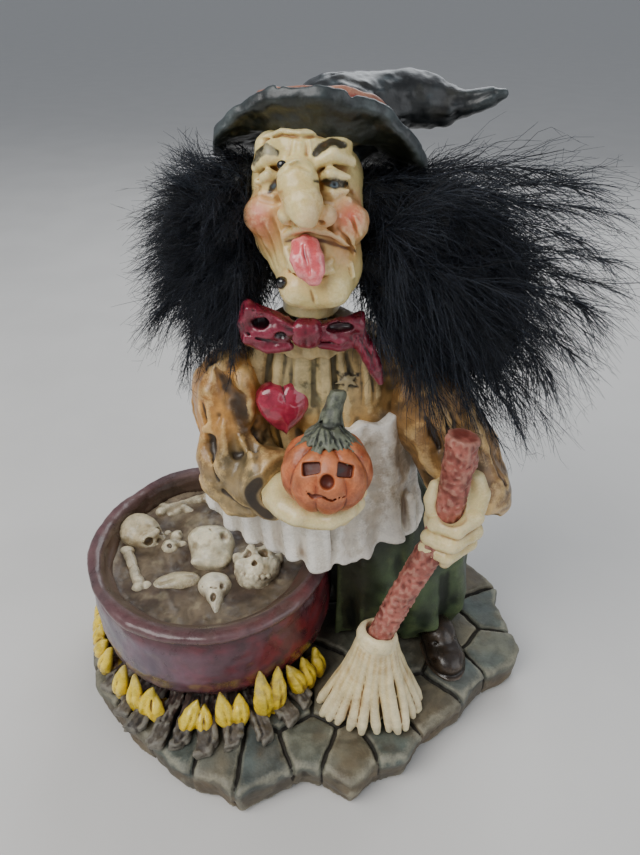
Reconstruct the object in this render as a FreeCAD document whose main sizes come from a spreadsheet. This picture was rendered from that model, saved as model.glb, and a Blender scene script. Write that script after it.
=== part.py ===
"""Nodding witch figure: a resin witch beside her cauldron, with a sprung head and plume hair.

Frame: millimetres, +Z up, origin at the bottom centre of the plinth, the figure faces -Y.
Her own right side is at -X, with the cauldron; her left side, with the broom, is at +X.
The sheet "dims" holds the driving dimensions. Each piece is one labelled object,
written to parts/LABEL.step.
"""
import FreeCAD, Part
import Sketcher
import math
import os

Vector = FreeCAD.Vector
Rotation = FreeCAD.Rotation
X_AXIS, Y_AXIS, Z_AXIS = Vector(1, 0, 0), Vector(0, 1, 0), Vector(0, 0, 1)

doc = FreeCAD.newDocument("witch_figure")
sheet = doc.addObject("Spreadsheet::Sheet", "dims")
aliases = []
pieces = {}


# Driving dimensions ---------------------------------------------------------------------------
class Measure:
    """A sheet value together with the expression that yields it."""

    def __init__(self, value, expression):
        self.value, self.expression = float(value), expression

    def combine(self, other, sign, value):
        return Measure(value, "(%s %s %s)" % (self.expression, sign, other.expression))

    def __add__(self, other):
        other = measure(other)
        return self.combine(other, "+", self.value + other.value)

    def __sub__(self, other):
        other = measure(other)
        return self.combine(other, "-", self.value - other.value)

    def __mul__(self, other):
        other = measure(other)
        return self.combine(other, "*", self.value * other.value)


def measure(x):
    return x if isinstance(x, Measure) else Measure(x, "%.6g" % x)


def number(x):
    return x.value if isinstance(x, Measure) else float(x)


def dim(alias, value, note):
    """Add a row to the sheet and return its value as a Measure."""
    aliases.append(alias)
    row = len(aliases)
    sheet.set("A%d" % row, alias)
    sheet.set("B%d" % row, "%g" % value)
    sheet.set("C%d" % row, note)
    sheet.setAlias("B%d" % row, alias)
    return Measure(value, "dims.%s" % alias)


felt_th = dim("felt_th", 1.0, "felt pad under the plinth")
base_th = dim("base_th", 6.6, "plinth slab")
stone_th = dim("stone_th", 1.4, "paving stones standing above the joints")
joint_w = dim("joint_w", 0.9, "gap between two paving stones")
pot_x = dim("pot_x", -24.5, "cauldron axis")
pot_y = dim("pot_y", 4.4, "cauldron axis")
pot_rim = dim("pot_rim", 28.2, "cauldron rim radius")
pot_belly = dim("pot_belly", 27.3, "cauldron belly radius")
pot_foot = dim("pot_foot", 17.0, "cauldron foot radius")
pot_top = dim("pot_top", 32.3, "top of the cauldron rim above the table")
pot_wall = dim("pot_wall", 4.6, "cauldron wall at the rim")
brew_z = dim("brew_z", 29.6, "level of the stew")
stick_d = dim("stick_d", 6.0, "broom handle, upper branch")
stick_d2 = dim("stick_d2", 5.0, "broom handle, lower branch")
log_d = dim("log_d", 3.6, "firewood")
gourd_r = dim("gourd_r", 7.1, "pumpkin radius")
head_w = dim("head_w", 9.7, "half width of the head")
head_z = dim("head_z", 110.4, "height of the head's centre")
neck_x = dim("neck_x", -1.5, "neck axis")
neck_y = dim("neck_y", 4.0, "neck axis")
neck_z = dim("neck_z", 93.0, "height the sprung neck bends about")
neck_r = dim("neck_r", 5.6, "outside of the neck stub")
bore_r = dim("bore_r", 4.2, "spring bore in the neck and the bodice")
coil_r = dim("coil_r", 2.5, "neck spring, mean coil radius")
wire_d = dim("wire_d", 0.7, "neck spring wire")
coil_pitch = dim("coil_pitch", 1.9, "neck spring pitch")
brim_th = dim("brim_th", 1.6, "hat brim")
heart_th = dim("heart_th", 2.2, "heart patch")
doc.recompute()

slab_top = felt_th + base_th
ground = slab_top + stone_th  # top of the paving


# Helpers: solids ------------------------------------------------------------------------------
def bind(obj, prop, x):
    if isinstance(x, Measure):
        obj.setExpression(prop, x.expression)


def set_sizes(obj, **sizes):
    for prop, x in sizes.items():
        setattr(obj, prop, number(x))
        bind(obj, prop, x)


def place(obj, position, rotation=None):
    obj.Placement = FreeCAD.Placement(Vector(*[number(c) for c in position]),
                                      rotation or Rotation())
    for axis, c in zip("xyz", position):
        bind(obj, "Placement.Base." + axis, c)


def along(direction):
    """The rotation that turns +Z to a direction."""
    return Rotation(Z_AXIS, Vector(*direction))


def ball(name, centre, radii, rotation=None):
    """An ellipsoid with its radii given along x, y and z."""
    obj = doc.addObject("Part::Ellipsoid", name)
    set_sizes(obj, Radius1=radii[2], Radius2=radii[0], Radius3=radii[1])
    place(obj, centre, rotation)
    return obj


def rod(name, start, end, radius, end_radius=None):
    """A straight cylinder, or a cone if an end radius is given."""
    start = Vector(*[number(c) for c in start])
    span = Vector(*[number(c) for c in end]) - start
    if end_radius is None:
        obj = doc.addObject("Part::Cylinder", name)
        set_sizes(obj, Radius=radius)
    else:
        obj = doc.addObject("Part::Cone", name)
        set_sizes(obj, Radius1=radius, Radius2=end_radius)
    obj.Height = span.Length
    obj.Placement = FreeCAD.Placement(start, Rotation(Z_AXIS, span))
    return obj


def block(name, corner, size, rotation=None):
    obj = doc.addObject("Part::Box", name)
    set_sizes(obj, Length=size[0], Width=size[1], Height=size[2])
    place(obj, corner, rotation)
    return obj


def fuse(name, *shapes):
    obj = doc.addObject("Part::MultiFuse", name)
    obj.Shapes = list(shapes)
    return obj


def cut(name, base, *tools):
    """The base less each tool in turn."""
    for i, tool in enumerate(tools):
        last = i == len(tools) - 1
        obj = doc.addObject("Part::Cut", name if last else "%s_step%d" % (name, i))
        obj.Base, obj.Tool = base, tool
        base = obj
    return base


def common(name, first, second):
    obj = doc.addObject("Part::MultiCommon", name)
    obj.Shapes = [first, second]
    return obj


def group(name, *shapes):
    obj = doc.addObject("Part::Compound", name)
    obj.Links = list(shapes)
    return obj


def piece(label, obj):
    """Label an object as a piece to be written out."""
    obj.Label = label
    pieces[label] = obj
    return obj


# Helpers: bodies from sketches ----------------------------------------------------------------
def new_body(name):
    return doc.addObject("PartDesign::Body", name)


def sketch_on(body, name, role="XY_Plane", z=0.0):
    sketch = body.newObject("Sketcher::SketchObject", name)
    plane = [f for f in body.Origin.OriginFeatures if f.Role == role][0]
    sketch.AttachmentSupport = [(plane, "")]
    sketch.MapMode = "FlatFace"
    sketch.AttachmentOffset = FreeCAD.Placement(Vector(0, 0, number(z)), Rotation())
    bind(sketch, "AttachmentOffset.Base.z", z)
    return sketch


def draw_loop(sketch, points):
    """Draw a closed polygon of plain lines and return the number of its first line."""
    first = sketch.GeometryCount
    for i, start in enumerate(points):
        end = points[(i + 1) % len(points)]
        sketch.addGeometry(Part.LineSegment(Vector(number(start[0]), number(start[1]), 0),
                                            Vector(number(end[0]), number(end[1]), 0)), False)
    return first


def outline(sketch, points):
    """Draw a closed polygon with fixed corners, bound to the sheet where they depend on it."""
    first = draw_loop(sketch, points)
    count = len(points)
    for i in range(count):
        sketch.addConstraint(
            Sketcher.Constraint("Coincident", first + i, 2, first + (i + 1) % count, 1))
    for i, point in enumerate(points):
        for kind, c in zip(("DistanceX", "DistanceY"), point):
            index = sketch.addConstraint(
                Sketcher.Constraint(kind, -1, 1, first + i, 1, number(c)))
            bind(sketch, "Constraints[%d]" % index, c)


def pad(body, name, sketch, height):
    feature = body.newObject("PartDesign::Pad", name)
    feature.Profile = sketch
    set_sizes(feature, Length=height)
    return feature


def padded(name, points, height):
    """A flat body standing on its own XY plane."""
    body = new_body(name)
    sketch = sketch_on(body, name + "_outline")
    outline(sketch, points)
    pad(body, name + "_pad", sketch, height)
    return body


def turned(name, profile, x, y):
    """A body revolved about the upright axis at x, y from a profile of (radius, height)."""
    body = new_body(name)
    sketch = sketch_on(body, name + "_profile", "XZ_Plane")
    outline(sketch, profile)
    feature = body.newObject("PartDesign::Revolution", name + "_turn")
    feature.Profile = sketch
    feature.ReferenceAxis = (sketch, ["V_Axis"])
    feature.Angle = 360.0
    place(body, (x, y, 0.0))
    return body


def loft(body, name, rings):
    feature = body.newObject("PartDesign::AdditiveLoft", name)
    feature.Profile = rings[0]
    feature.Sections = rings[1:]
    feature.Ruled = False


def lofted(name, sections):
    """A body lofted through level ellipses: (z, centre x, centre y, x radius, y radius)."""
    body = new_body(name)
    rings = []
    for i, (z, *plan) in enumerate(sections):
        sketch = sketch_on(body, "%s_ring%d" % (name, i), "XY_Plane", z)
        x, y, radius_x, radius_y = [number(c) for c in plan]
        # An ellipse takes a point on its longer axis first.
        if radius_x >= radius_y:
            major, minor = Vector(x + radius_x, y, 0), Vector(x, y + radius_y, 0)
        else:
            major, minor = Vector(x, y + radius_y, 0), Vector(x - radius_x, y, 0)
        sketch.addGeometry(Part.Ellipse(major, minor, Vector(x, y, 0)), False)
        rings.append(sketch)
    loft(body, name + "_loft", rings)
    return body


def tube(name, stations):
    """A body lofted through circles: (centre, normal, radius)."""
    body = new_body(name)
    rings = []
    for i, (centre, normal, radius) in enumerate(stations):
        sketch = sketch_on(body, "%s_ring%d" % (name, i))
        sketch.AttachmentOffset = FreeCAD.Placement(Vector(*centre), along(normal))
        sketch.addGeometry(Part.Circle(Vector(0, 0, 0), Z_AXIS, number(radius)), False)
        sketch.addConstraint(Sketcher.Constraint("Coincident", 0, 3, -1, 1))
        if isinstance(radius, Measure):
            sketch.addConstraint(Sketcher.Constraint("Radius", 0, radius.value))
            bind(sketch, "Constraints[1]", radius)
        rings.append(sketch)
    loft(body, name + "_loft", rings)
    return body


# Plinth ---------------------------------------------------------------------------------------
felt_inset = 3.0
paving_inset = 0.5
shortest_edge = 0.35  # corners of a stone nearer than this are merged

# Edge of the plinth, counter-clockwise from above: (x, y)
PLINTH_EDGE = [
    (-53.4, -8.4), (-50.5, -14.5), (-46.6, -17.9), (-42.1, -23.2), (-36.9, -26.9), (-32.8, -30.0),
    (-27.9, -33.2), (-21.1, -35.0), (-16.0, -38.2), (-12.5, -36.2), (-3.7, -33.2), (1.1, -34.0),
    (6.1, -36.4), (11.2, -32.4), (17.5, -31.0), (22.4, -24.9), (31.4, -19.0), (36.6, -13.0),
    (45.6, -8.4), (47.9, -4.8), (46.5, 3.3), (45.2, 9.2), (47.0, 13.6), (42.8, 20.5),
    (38.5, 25.4), (30.6, 29.8), (22.4, 32.6), (14.2, 36.4), (4.2, 35.2), (-5.8, 37.6),
    (-15.6, 36.8), (-25.8, 38.2), (-36.2, 36.4), (-45.0, 31.0), (-50.8, 24.0), (-54.2, 15.0),
    (-55.4, 5.2), (-54.6, -2.2),
]

# One point in each paving stone; the joints run midway between neighbours: (x, y)
STONE_SEEDS = [
    (-47.0, -12.0), (-38.5, -21.0), (-30.0, -28.6), (-20.5, -30.0), (-12.0, -31.0), (-2.5, -27.0),
    (6.5, -30.0), (15.0, -26.5), (23.5, -18.5), (30.5, -10.5), (40.0, -4.5), (33.5, 1.5),
    (41.5, 7.0), (38.0, 17.0), (28.0, 23.0), (18.0, 29.0), (6.0, 30.0), (-5.0, 32.5),
    (-16.0, 32.0), (-27.0, 33.5), (-38.0, 31.0), (-46.5, 24.0), (-50.0, 14.0), (-51.0, 4.0),
    (-50.5, -4.0), (13.0, -15.0), (3.0, -17.0), (-7.0, -19.0), (22.0, -4.0), (24.0, 8.0),
    (12.0, 4.0), (10.0, 18.0), (-2.0, 21.0), (-24.0, 8.0), (-33.0, -12.0),
]


def distance(a, b):
    return math.hypot(b[0] - a[0], b[1] - a[1])


def inward(a, b):
    """The unit normal on the inner side of a polygon's edge from a to b."""
    length = distance(a, b)
    return -(b[1] - a[1]) / length, (b[0] - a[0]) / length


def inset(polygon, depth):
    """The polygon with each side moved in by a depth."""
    moved = []
    for i, (x, y) in enumerate(polygon):
        before = inward(polygon[i - 1], polygon[i])
        after = inward(polygon[i], polygon[(i + 1) % len(polygon)])
        scale = 1.0 + before[0] * after[0] + before[1] * after[1]
        moved.append((x + depth * (before[0] + after[0]) / scale,
                      y + depth * (before[1] + after[1]) / scale))
    return moved


def clip(polygon, point, normal):
    """The part of the polygon behind the line through a point with a normal."""
    kept = []
    for i, a in enumerate(polygon):
        b = polygon[(i + 1) % len(polygon)]
        side_a, side_b = [(c[0] - point[0]) * normal[0] + (c[1] - point[1]) * normal[1]
                          for c in (a, b)]
        if side_a <= 0:
            kept.append(a)
        if (side_a < 0) != (side_b < 0) and side_a != side_b:
            share = side_a / (side_a - side_b)
            kept.append((a[0] + share * (b[0] - a[0]), a[1] + share * (b[1] - a[1])))
    return kept


def stone_outline(seed, field):
    """The part of the field nearest to a seed, less half a joint on each side."""
    cell = field
    for other in STONE_SEEDS:
        if other == seed or not cell:
            continue
        length = distance(seed, other)
        normal = ((other[0] - seed[0]) / length, (other[1] - seed[1]) / length)
        half_joint = joint_w.value / 2
        edge = [(seed[k] + other[k]) / 2 - normal[k] * half_joint for k in (0, 1)]
        cell = clip(cell, edge, normal)
    corners = []
    for point in cell:
        if not corners or distance(corners[-1], point) > shortest_edge:
            corners.append(point)
    if len(corners) > 2 and distance(corners[-1], corners[0]) < shortest_edge:
        corners.pop()
    return corners


plinth = new_body("plinth")
slab_sketch = sketch_on(plinth, "plinth_outline", "XY_Plane", felt_th)
outline(slab_sketch, PLINTH_EDGE)
pad(plinth, "plinth_slab", slab_sketch, base_th)
doc.recompute()
paving_sketch = sketch_on(plinth, "paving", "XY_Plane", slab_top)
paving_field = inset(PLINTH_EDGE, paving_inset)
for seed in STONE_SEEDS:
    stone = stone_outline(seed, paving_field)
    if len(stone) > 2:
        draw_loop(paving_sketch, stone)
plinth.Tip = pad(plinth, "plinth_stones", paving_sketch, stone_th)
piece("flagstone_base", plinth)

piece("felt_pad", padded("felt", inset(PLINTH_EDGE, felt_inset), felt_th))

# Cauldron -------------------------------------------------------------------------------------
pot_inner = pot_rim - pot_wall
pot_floor = ground + 5.0

# Half section, up the outside and down the inside: (radius, height)
pot = piece("cauldron_pot", turned("pot", [
    (0.0, ground), (pot_foot, ground), (pot_foot + 5.4, ground + 2.6),
    (pot_belly - 1.8, ground + 6.4), (pot_belly - 0.2, ground + 10.0),
    (pot_belly, ground + 13.0), (pot_belly - 0.5, ground + 16.6),
    (pot_rim - 2.2, ground + 18.6), (pot_rim - 0.4, ground + 19.6),
    (pot_rim, ground + 21.4), (pot_rim - 0.5, pot_top - 0.7), (pot_rim - 1.8, pot_top),
    (pot_inner + 1.0, pot_top - 0.2), (pot_inner, pot_top - 1.8),
    (pot_inner, ground + 14.0), (pot_inner - 3.5, pot_floor), (0.0, pot_floor),
], pot_x, pot_y))
# The stew stands 0.05 clear of the pot.
piece("cauldron_stew", turned("brew", [
    (0.0, pot_floor + 0.05), (pot_inner - 3.58, pot_floor + 0.05),
    (pot_inner - 0.05, ground + 14.05), (pot_inner - 0.05, brew_z - 0.6),
    (pot_inner - 2.0, brew_z), (0.0, brew_z),
], pot_x, pot_y))

# Bones on the stew; left and right here are as seen from the front -------------------------------
well_top = 60.0
bone_gap = 0.3  # room kept round a skull where another bone meets it
skull_left_at, skull_left_radii = (-45.2, 12.2, brew_z + 1.6), (5.2, 5.4, 4.8)
skull_mid_at, skull_mid_radii = (-25.3, 6.2, brew_z + 1.4), (5.4, 6.6, 5.0)


def resting(name, shape):
    """The part of a shape that stands above the stew, inside the rim."""
    well = rod(name + "_well", (pot_x, pot_y, brew_z), (pot_x, pot_y, well_top),
               pot_inner - 0.1)
    return common(name, shape, well)


def with_gap(radii):
    return [radius + bone_gap for radius in radii]


piece("stew_skull_left", resting("skull_a", fuse(
    "skull_a_all",
    ball("skull_a_cap", skull_left_at, skull_left_radii),
    ball("skull_a_jaw", (-40.6, 10.4, brew_z + 0.6), (3.2, 3.2, 2.8)))))
piece("stew_skull_centre", resting("skull_b", ball("skull_b_cap", skull_mid_at, skull_mid_radii)))
skull_right = resting("skull_c", fuse(
    "skull_c_all",
    ball("skull_c_cap", (-13.6, 2.4, brew_z + 1.4), (5.0, 4.8, 4.6)),
    ball("skull_c_jaw", (-16.6, -1.8, brew_z + 0.6), (3.4, 3.2, 3.0))))
piece("stew_skull_right", cut(
    "skull_c_free", skull_right, ball("skull_b_gap", skull_mid_at, with_gap(skull_mid_radii))))
piece("stew_beaked_skull", resting("beak", fuse(
    "beak_all",
    ball("beak_cap", (-23.2, -4.6, brew_z + 0.6), (3.7, 3.4, 2.9)),
    rod("beak_tip", (-23.0, -6.0, brew_z + 0.9), (-21.9, -12.2, brew_z + 0.7), 2.6, 0.8))))
piece("stew_shoulder_blade", resting("blade", ball(
    "blade_all", (-32.2, -3.0, brew_z + 0.4), (5.2, 2.9, 2.4), Rotation(Z_AXIS, 14.0))))
thigh = fuse(
    "thigh_all",
    rod("thigh_shaft", (-45.2, 5.8, brew_z + 0.7), (-39.2, -5.2, brew_z + 0.7), 1.2),
    ball("thigh_knob", (-39.0, -5.6, brew_z + 0.8), (1.9, 1.9, 1.7)))
piece("stew_thigh_bone", resting("thigh", cut(
    "thigh_free", thigh, ball("skull_a_gap", skull_left_at, with_gap(skull_left_radii)))))
piece("stew_arm_bone", resting("arm_bone", fuse(
    "arm_bone_all",
    rod("arm_shaft", (-42.0, 22.0, brew_z + 0.5), (-29.5, 25.4, brew_z + 0.5), 1.3),
    ball("arm_knob", (-42.4, 21.8, brew_z + 0.7), (2.3, 2.3, 1.9)))))
piece("stew_knuckle_bone", resting("knuckle", ball(
    "knuckle_all", (-35.2, 8.6, brew_z + 0.5), (2.4, 3.4, 2.2))))

# Fire round the cauldron's foot ---------------------------------------------------------------
log_inner = 21.5  # distance of a log's inner end from the cauldron axis
flame_ring = 27.6
flame_lift = 7.6  # centre of a flame above the paving
flame_radii = (1.7, 2.4, 4.4)

# (direction from the cauldron axis in degrees, distance of the outer end)
LOGS = [(-137, 34.8), (-127, 36.4), (-112, 36.8), (-103, 36.0), (-90, 34.6), (-82, 35.4),
        (-73, 34.8), (-64, 35.0), (-54, 34.6)]
# Directions from the cauldron axis, in degrees
FLAMES = [-171, -150, -132, -119.5, -107.5, -96, -86, -77.5, -68.5, -59, -43, 171, 152, 134, 116]


def round_pot(degrees, radius, lift):
    """A point at a distance from the cauldron axis and a height above the paving."""
    angle = math.radians(degrees)
    return (pot_x.value + radius * math.cos(angle), pot_y.value + radius * math.sin(angle),
            ground.value + lift)


log_radius = log_d * 0.5
logs = [rod("log_%d" % i, round_pot(degrees, log_inner, log_radius.value),
            round_pot(degrees, log_outer, log_radius.value), log_radius)
        for i, (degrees, log_outer) in enumerate(LOGS)]
piece("firewood_logs", cut("log_pile", group("log_set", *logs), pot))
flames = [ball("flame_%d" % i, round_pot(degrees, flame_ring, flame_lift), flame_radii,
               Rotation(Z_AXIS, degrees))
          for i, degrees in enumerate(FLAMES)]
piece("flame_tongues", cut("flames", group("flame_set", *flames), pot))

# Broom, bristles down -------------------------------------------------------------------------
stick = piece("broom_handle", tube("stick", [
    ((11.9, -18.1, 33.0), (0.44, 0.24, 0.86), stick_d2 * 0.5),
    ((17.2, -15.2, 43.2), (0.47, 0.26, 0.84), stick_d2 * 0.5 + 0.1),
    ((22.4, -12.1, 52.6), (0.34, 0.20, 0.92), stick_d * 0.5),
    ((24.2, -10.8, 62.0), (0.10, 0.09, 0.99), stick_d * 0.5 + 0.1),
    ((24.8, -9.8, 75.0), (0.04, 0.07, 1.0), stick_d * 0.5),
]))
straw = piece("broom_bristles", cut("straw_free", lofted("straw", [
    (ground, 11.0, -20.0, 11.4, 7.6), (ground + 5.0, 11.0, -20.0, 10.0, 6.8),
    (ground + 13.0, 11.2, -19.6, 6.2, 5.0), (ground + 19.0, 11.3, -19.0, 4.0, 3.8),
    (30.5, 11.4, -18.6, 3.6, 3.6),
]), stick))
piece("broom_binding", cut(
    "binding_free", rod("binding_all", (11.2, -19.0, 30.0), (12.2, -17.9, 34.0), 4.2),
    stick, straw))

# Levels along the sprung neck -----------------------------------------------------------------
seat_low = neck_z - 13.0
seat_shelf = neck_z - 9.0
coil_low = neck_z - 8.6
coil_height = 17.1
cap_shelf = neck_z + 9.2
cap_top = neck_z + 10.4
bore_step = neck_z + 10.8  # where the head's bore narrows to take the cap's pin
spigot_r = coil_r - wire_d * 0.5 - 0.1


def neck_rod(name, low, high, radius):
    """An upright cylinder on the neck axis."""
    return rod(name, (neck_x, neck_y, low), (neck_x, neck_y, high), radius)


# Dress and boots ------------------------------------------------------------------------------
pot_clear = rod("pot_clear", (pot_x, pot_y, 0.0), (pot_x, pot_y, pot_top + 0.3), pot_rim + 0.15)
shoes = fuse(
    "shoes_all",
    ball("shoe_left", (28.6, -4.6, ground + 1.4), (6.0, 8.6, 4.4), Rotation(Z_AXIS, 12.0)),
    ball("shoe_right", (13.6, -5.6, ground + 1.4), (5.4, 7.6, 4.2)))
skirt_form = lofted("skirt", [
    (ground + 2.6, 16.0, 10.0, 18.4, 15.6), (22.0, 16.4, 9.6, 20.0, 15.6),
    (32.0, 15.6, 9.6, 20.0, 15.0), (42.0, 11.6, 9.6, 17.0, 13.2), (54.0, 6.6, 9.4, 14.4, 11.4)])
skirt = piece("green_skirt", cut("skirt_free", skirt_form, pot_clear))
below_paving = block("below_paving", (-70.0, -60.0, -20.0), (140.0, 120.0, ground + 20.0))
piece("boots", cut("shoes", shoes, below_paving, skirt, straw))

bodice_form = lofted("bodice_form", [
    (54.0, 5.4, 9.4, 14.6, 11.6), (62.0, 2.6, 9.0, 15.6, 11.4), (74.0, 0.6, 8.4, 17.2, 11.2),
    (84.0, -0.6, 7.6, 15.0, 9.6), (90.0, -1.4, 5.0, 7.4, 6.8)])
piece("bodice", cut("bodice", bodice_form, neck_rod("bore_low", seat_low, neck_z + 6.0, bore_r)))

# Heart outline from its point, counter-clockwise: (x, y)
HEART = [
    (0.0, -4.7), (2.6, -2.6), (4.5, 0.2), (4.6, 2.6), (3.2, 4.3), (1.4, 4.4), (0.0, 3.2),
    (-1.4, 4.4), (-3.2, 4.3), (-4.6, 2.6), (-4.5, 0.2), (-2.6, -2.6),
]
heart_form = padded("heart", HEART, heart_th)
# Stood up on the chest and turned a little in its own plane
place(heart_form, (-6.2, -1.0, 76.2), Rotation(X_AXIS, 76.0) * Rotation(Z_AXIS, 14.0))
heart = piece("heart_patch", cut("heart_free", heart_form, bodice_form))

# Pumpkin --------------------------------------------------------------------------------------
gourd = ball("gourd", (1.1, -17.6, 73.3), (gourd_r, gourd_r, gourd_r * 0.9))
piece("pumpkin", cut("gourd_free", gourd, bodice_form))
stalk_form = fuse(
    "stalk_all",
    rod("stalk_flare", (1.3, -16.4, 77.6), (1.9, -14.6, 81.2), 5.0, 2.4),
    rod("stalk_stem", (1.8, -15.0, 80.6), (3.1, -11.6, 87.6), 2.3, 1.6))
piece("pumpkin_stalk", cut("stalk", stalk_form, gourd, bodice_form, heart))

# Right arm, under the pumpkin -----------------------------------------------------------------
sleeve_r_form = fuse(
    "sleeve_r_all",
    ball("sleeve_r_puff", (-16.4, 4.6, 73.2), (8.3, 9.1, 11.3)),
    ball("sleeve_r_elbow", (-15.8, -1.6, 62.8), (7.7, 8.4, 8.0)),
    rod("sleeve_r_cuff", (-14.6, -2.6, 62.4), (-9.2, -9.4, 64.8), 6.9, 6.2))
piece("sleeve_right", cut("sleeve_r", sleeve_r_form, bodice_form, gourd, heart_form))
palm_form = fuse(
    "palm_all",
    rod("forearm_r", (-9.3, -9.7, 64.6), (-4.0, -13.6, 64.6), 3.4),
    ball("palm_bowl", (0.4, -16.4, 65.0), (9.0, 6.6, 3.6)))
piece("hand_right", cut("palm", palm_form, gourd, sleeve_r_form, bodice_form))

# Left arm, holding the broom ------------------------------------------------------------------
sleeve_l_form = fuse(
    "sleeve_l_all",
    ball("sleeve_l_puff", (20.6, 6.2, 72.4), (8.6, 9.0, 11.4), Rotation(Y_AXIS, -12.0)),
    ball("sleeve_l_elbow", (26.2, 2.4, 63.0), (7.4, 8.0, 8.6)),
    rod("sleeve_l_cuff", (26.4, 1.2, 62.0), (29.6, -3.2, 56.0), 6.4, 7.8))
fist_ball = doc.addObject("Part::Sphere", "fist_ball")
set_sizes(fist_ball, Radius=6.6)
place(fist_ball, (25.3, -9.8, 52.4), Rotation(X_AXIS, 90.0))
fist_form = fuse(
    "fist_all", fist_ball,
    rod("wrist_l", (26.6, -7.0, 54.4), (28.6, -3.0, 56.6), 4.2))
piece("hand_left", cut("fist", fist_form, stick))
sleeve_side = block("sleeve_side", (-20.0, -40.0, 30.0), (40.0, 90.0, 37.0))
piece("sleeve_left", cut("sleeve_l", sleeve_l_form, sleeve_side, bodice_form, stick, fist_form))

# Apron, over the front of the dress -----------------------------------------------------------
apron_form = lofted("apron_form", [
    (42.6, 3.6, 5.6, 18.6, 15.4), (48.0, 3.2, 6.2, 17.6, 14.6), (56.0, 3.0, 7.4, 16.8, 14.0),
    (66.0, 2.0, 8.2, 16.8, 12.6)])
apron_back = block("apron_back", (-40.0, 10.0, 30.0), (80.0, 40.0, 60.0))
apron_side = block("apron_side", (19.9, -40.0, 50.0), (40.0, 90.0, 40.0))
piece("apron", cut("apron", apron_form, bodice_form, skirt_form, apron_back, apron_side,
                   sleeve_r_form, palm_form, gourd, pot_clear))

# Collar and bow -------------------------------------------------------------------------------
collar_form = rod("collar_all", (neck_x - 0.2, neck_y - 0.4, 86.6), (neck_x, neck_y, 90.6),
                  7.9, 7.0)
collar = piece("collar", cut("collar", collar_form, bodice_form,
                             neck_rod("collar_bore", 80.0, 100.0, 5.9)))
knot = piece("bow_knot", cut(
    "knot", ball("knot_all", (-1.8, -5.2, 89.4), (2.6, 1.9, 2.5)), collar, bodice_form))
bow_form = fuse(
    "bow_all",
    rod("bow_loop_r", (-2.6, -5.2, 89.6), (-12.2, -3.4, 91.6), 1.6, 4.0),
    rod("bow_loop_l", (-1.0, -5.2, 89.2), (9.6, -3.6, 88.8), 1.6, 3.8),
    rod("bow_tail_l", (7.6, -4.6, 86.6), (10.6, -5.0, 80.4), 1.5, 0.7))
bow_trim = block("bow_trim", (-20.0, -3.4, 70.0), (40.0, 12.0, 40.0))  # flattens the back
piece("bow_loops", cut("bow_loops", bow_form, knot, collar, bodice_form, bow_trim))

# Sprung neck ----------------------------------------------------------------------------------
piece("spring_seat", fuse(
    "seat",
    neck_rod("seat_plug", seat_low, seat_shelf, bore_r),
    neck_rod("seat_spigot", seat_shelf, neck_z - 6.5, spigot_r)))

spring = new_body("coil")
wire = sketch_on(spring, "wire_section", "XZ_Plane")
wire.addGeometry(Part.Circle(Vector(coil_r.value, 0, 0), Z_AXIS, wire_d.value / 2), False)
wire.addConstraint(Sketcher.Constraint("Diameter", 0, wire_d.value))
bind(wire, "Constraints[0]", wire_d)
wire.addConstraint(Sketcher.Constraint("DistanceX", -1, 1, 0, 3, coil_r.value))
bind(wire, "Constraints[1]", coil_r)
wire.addConstraint(Sketcher.Constraint("PointOnObject", 0, 3, -1))
coil = spring.newObject("PartDesign::AdditiveHelix", "coil_turns")
coil.Profile = wire
coil.ReferenceAxis = (wire, ["V_Axis"])
coil.Mode = 0  # set by pitch and height
set_sizes(coil, Pitch=coil_pitch)
coil.Height = coil_height
coil.Angle = 0.0
coil.LeftHanded = False
coil.Reversed = False
place(spring, (neck_x, neck_y, coil_low))
piece("neck_spring", spring)

piece("spring_cap", fuse(
    "cap",
    neck_rod("cap_spigot", neck_z + 6.6, cap_shelf, spigot_r),
    neck_rod("cap_plate", cap_shelf, cap_top, 3.2),
    neck_rod("cap_pin", cap_top, neck_z + 14.4, 1.5)))

# Head -----------------------------------------------------------------------------------------
# Level sections, chin to crown, the chin furthest forward:
# (z, centre x, centre y, x radius / head_w, y radius / head_w)
HEAD_RINGS = [
    (97.0, -1.5, -3.4, 0.34, 0.28), (99.4, -1.5, -2.8, 0.56, 0.54),
    (103.0, -1.6, -1.6, 0.70, 0.74), (107.5, -1.9, 0.6, 0.90, 0.94),
    (112.5, -2.0, 2.0, 1.0, 1.03), (117.0, -2.0, 2.6, 0.97, 1.0),
    (121.0, -2.0, 2.8, 0.77, 0.80), (123.6, -2.0, 2.8, 0.38, 0.40),
]


def head_form(name, grow):
    """The head without its nose, with its radii grown by a clearance."""
    return lofted(name, [(z, x, y, head_w * wide + grow, head_w * deep + grow)
                         for z, x, y, wide, deep in HEAD_RINGS])


head = fuse(
    "head_all", head_form("head_form", 0.0),
    rod("nose_form", (-2.2, -4.0, 114.6), (-2.2, -14.4, 112.4), 3.6, 2.1),
    neck_rod("neck_stub", neck_z - 0.2, head_z - 8.0, neck_r))
head_bore = fuse(
    "head_bore",
    neck_rod("head_bore_wide", neck_z - 4.0, bore_step, bore_r),
    neck_rod("head_bore_pin", bore_step, neck_z + 15.0, 1.55))
tongue_form = ball("tongue_form", (-1.4, -9.4, 106.4), (2.7, 1.6, 4.6), Rotation(X_AXIS, -8.0))
chin_wart = ball("wart_a", (-5.9, -7.1, 101.6), (1.0, 1.0, 1.0))
brow_wart = ball("wart_b", (-5.5, -9.3, 117.6), (1.0, 0.9, 1.0))
piece("tongue", cut("tongue_free", tongue_form, head))
piece("head_casting", cut("head_casting_free", cut("head_clean", head, head_bore),
                          tongue_form, chin_wart, brow_wart))
piece("warts", group("wart_pair", cut("wart_a_free", chin_wart, tongue_form), brow_wart))

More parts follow.
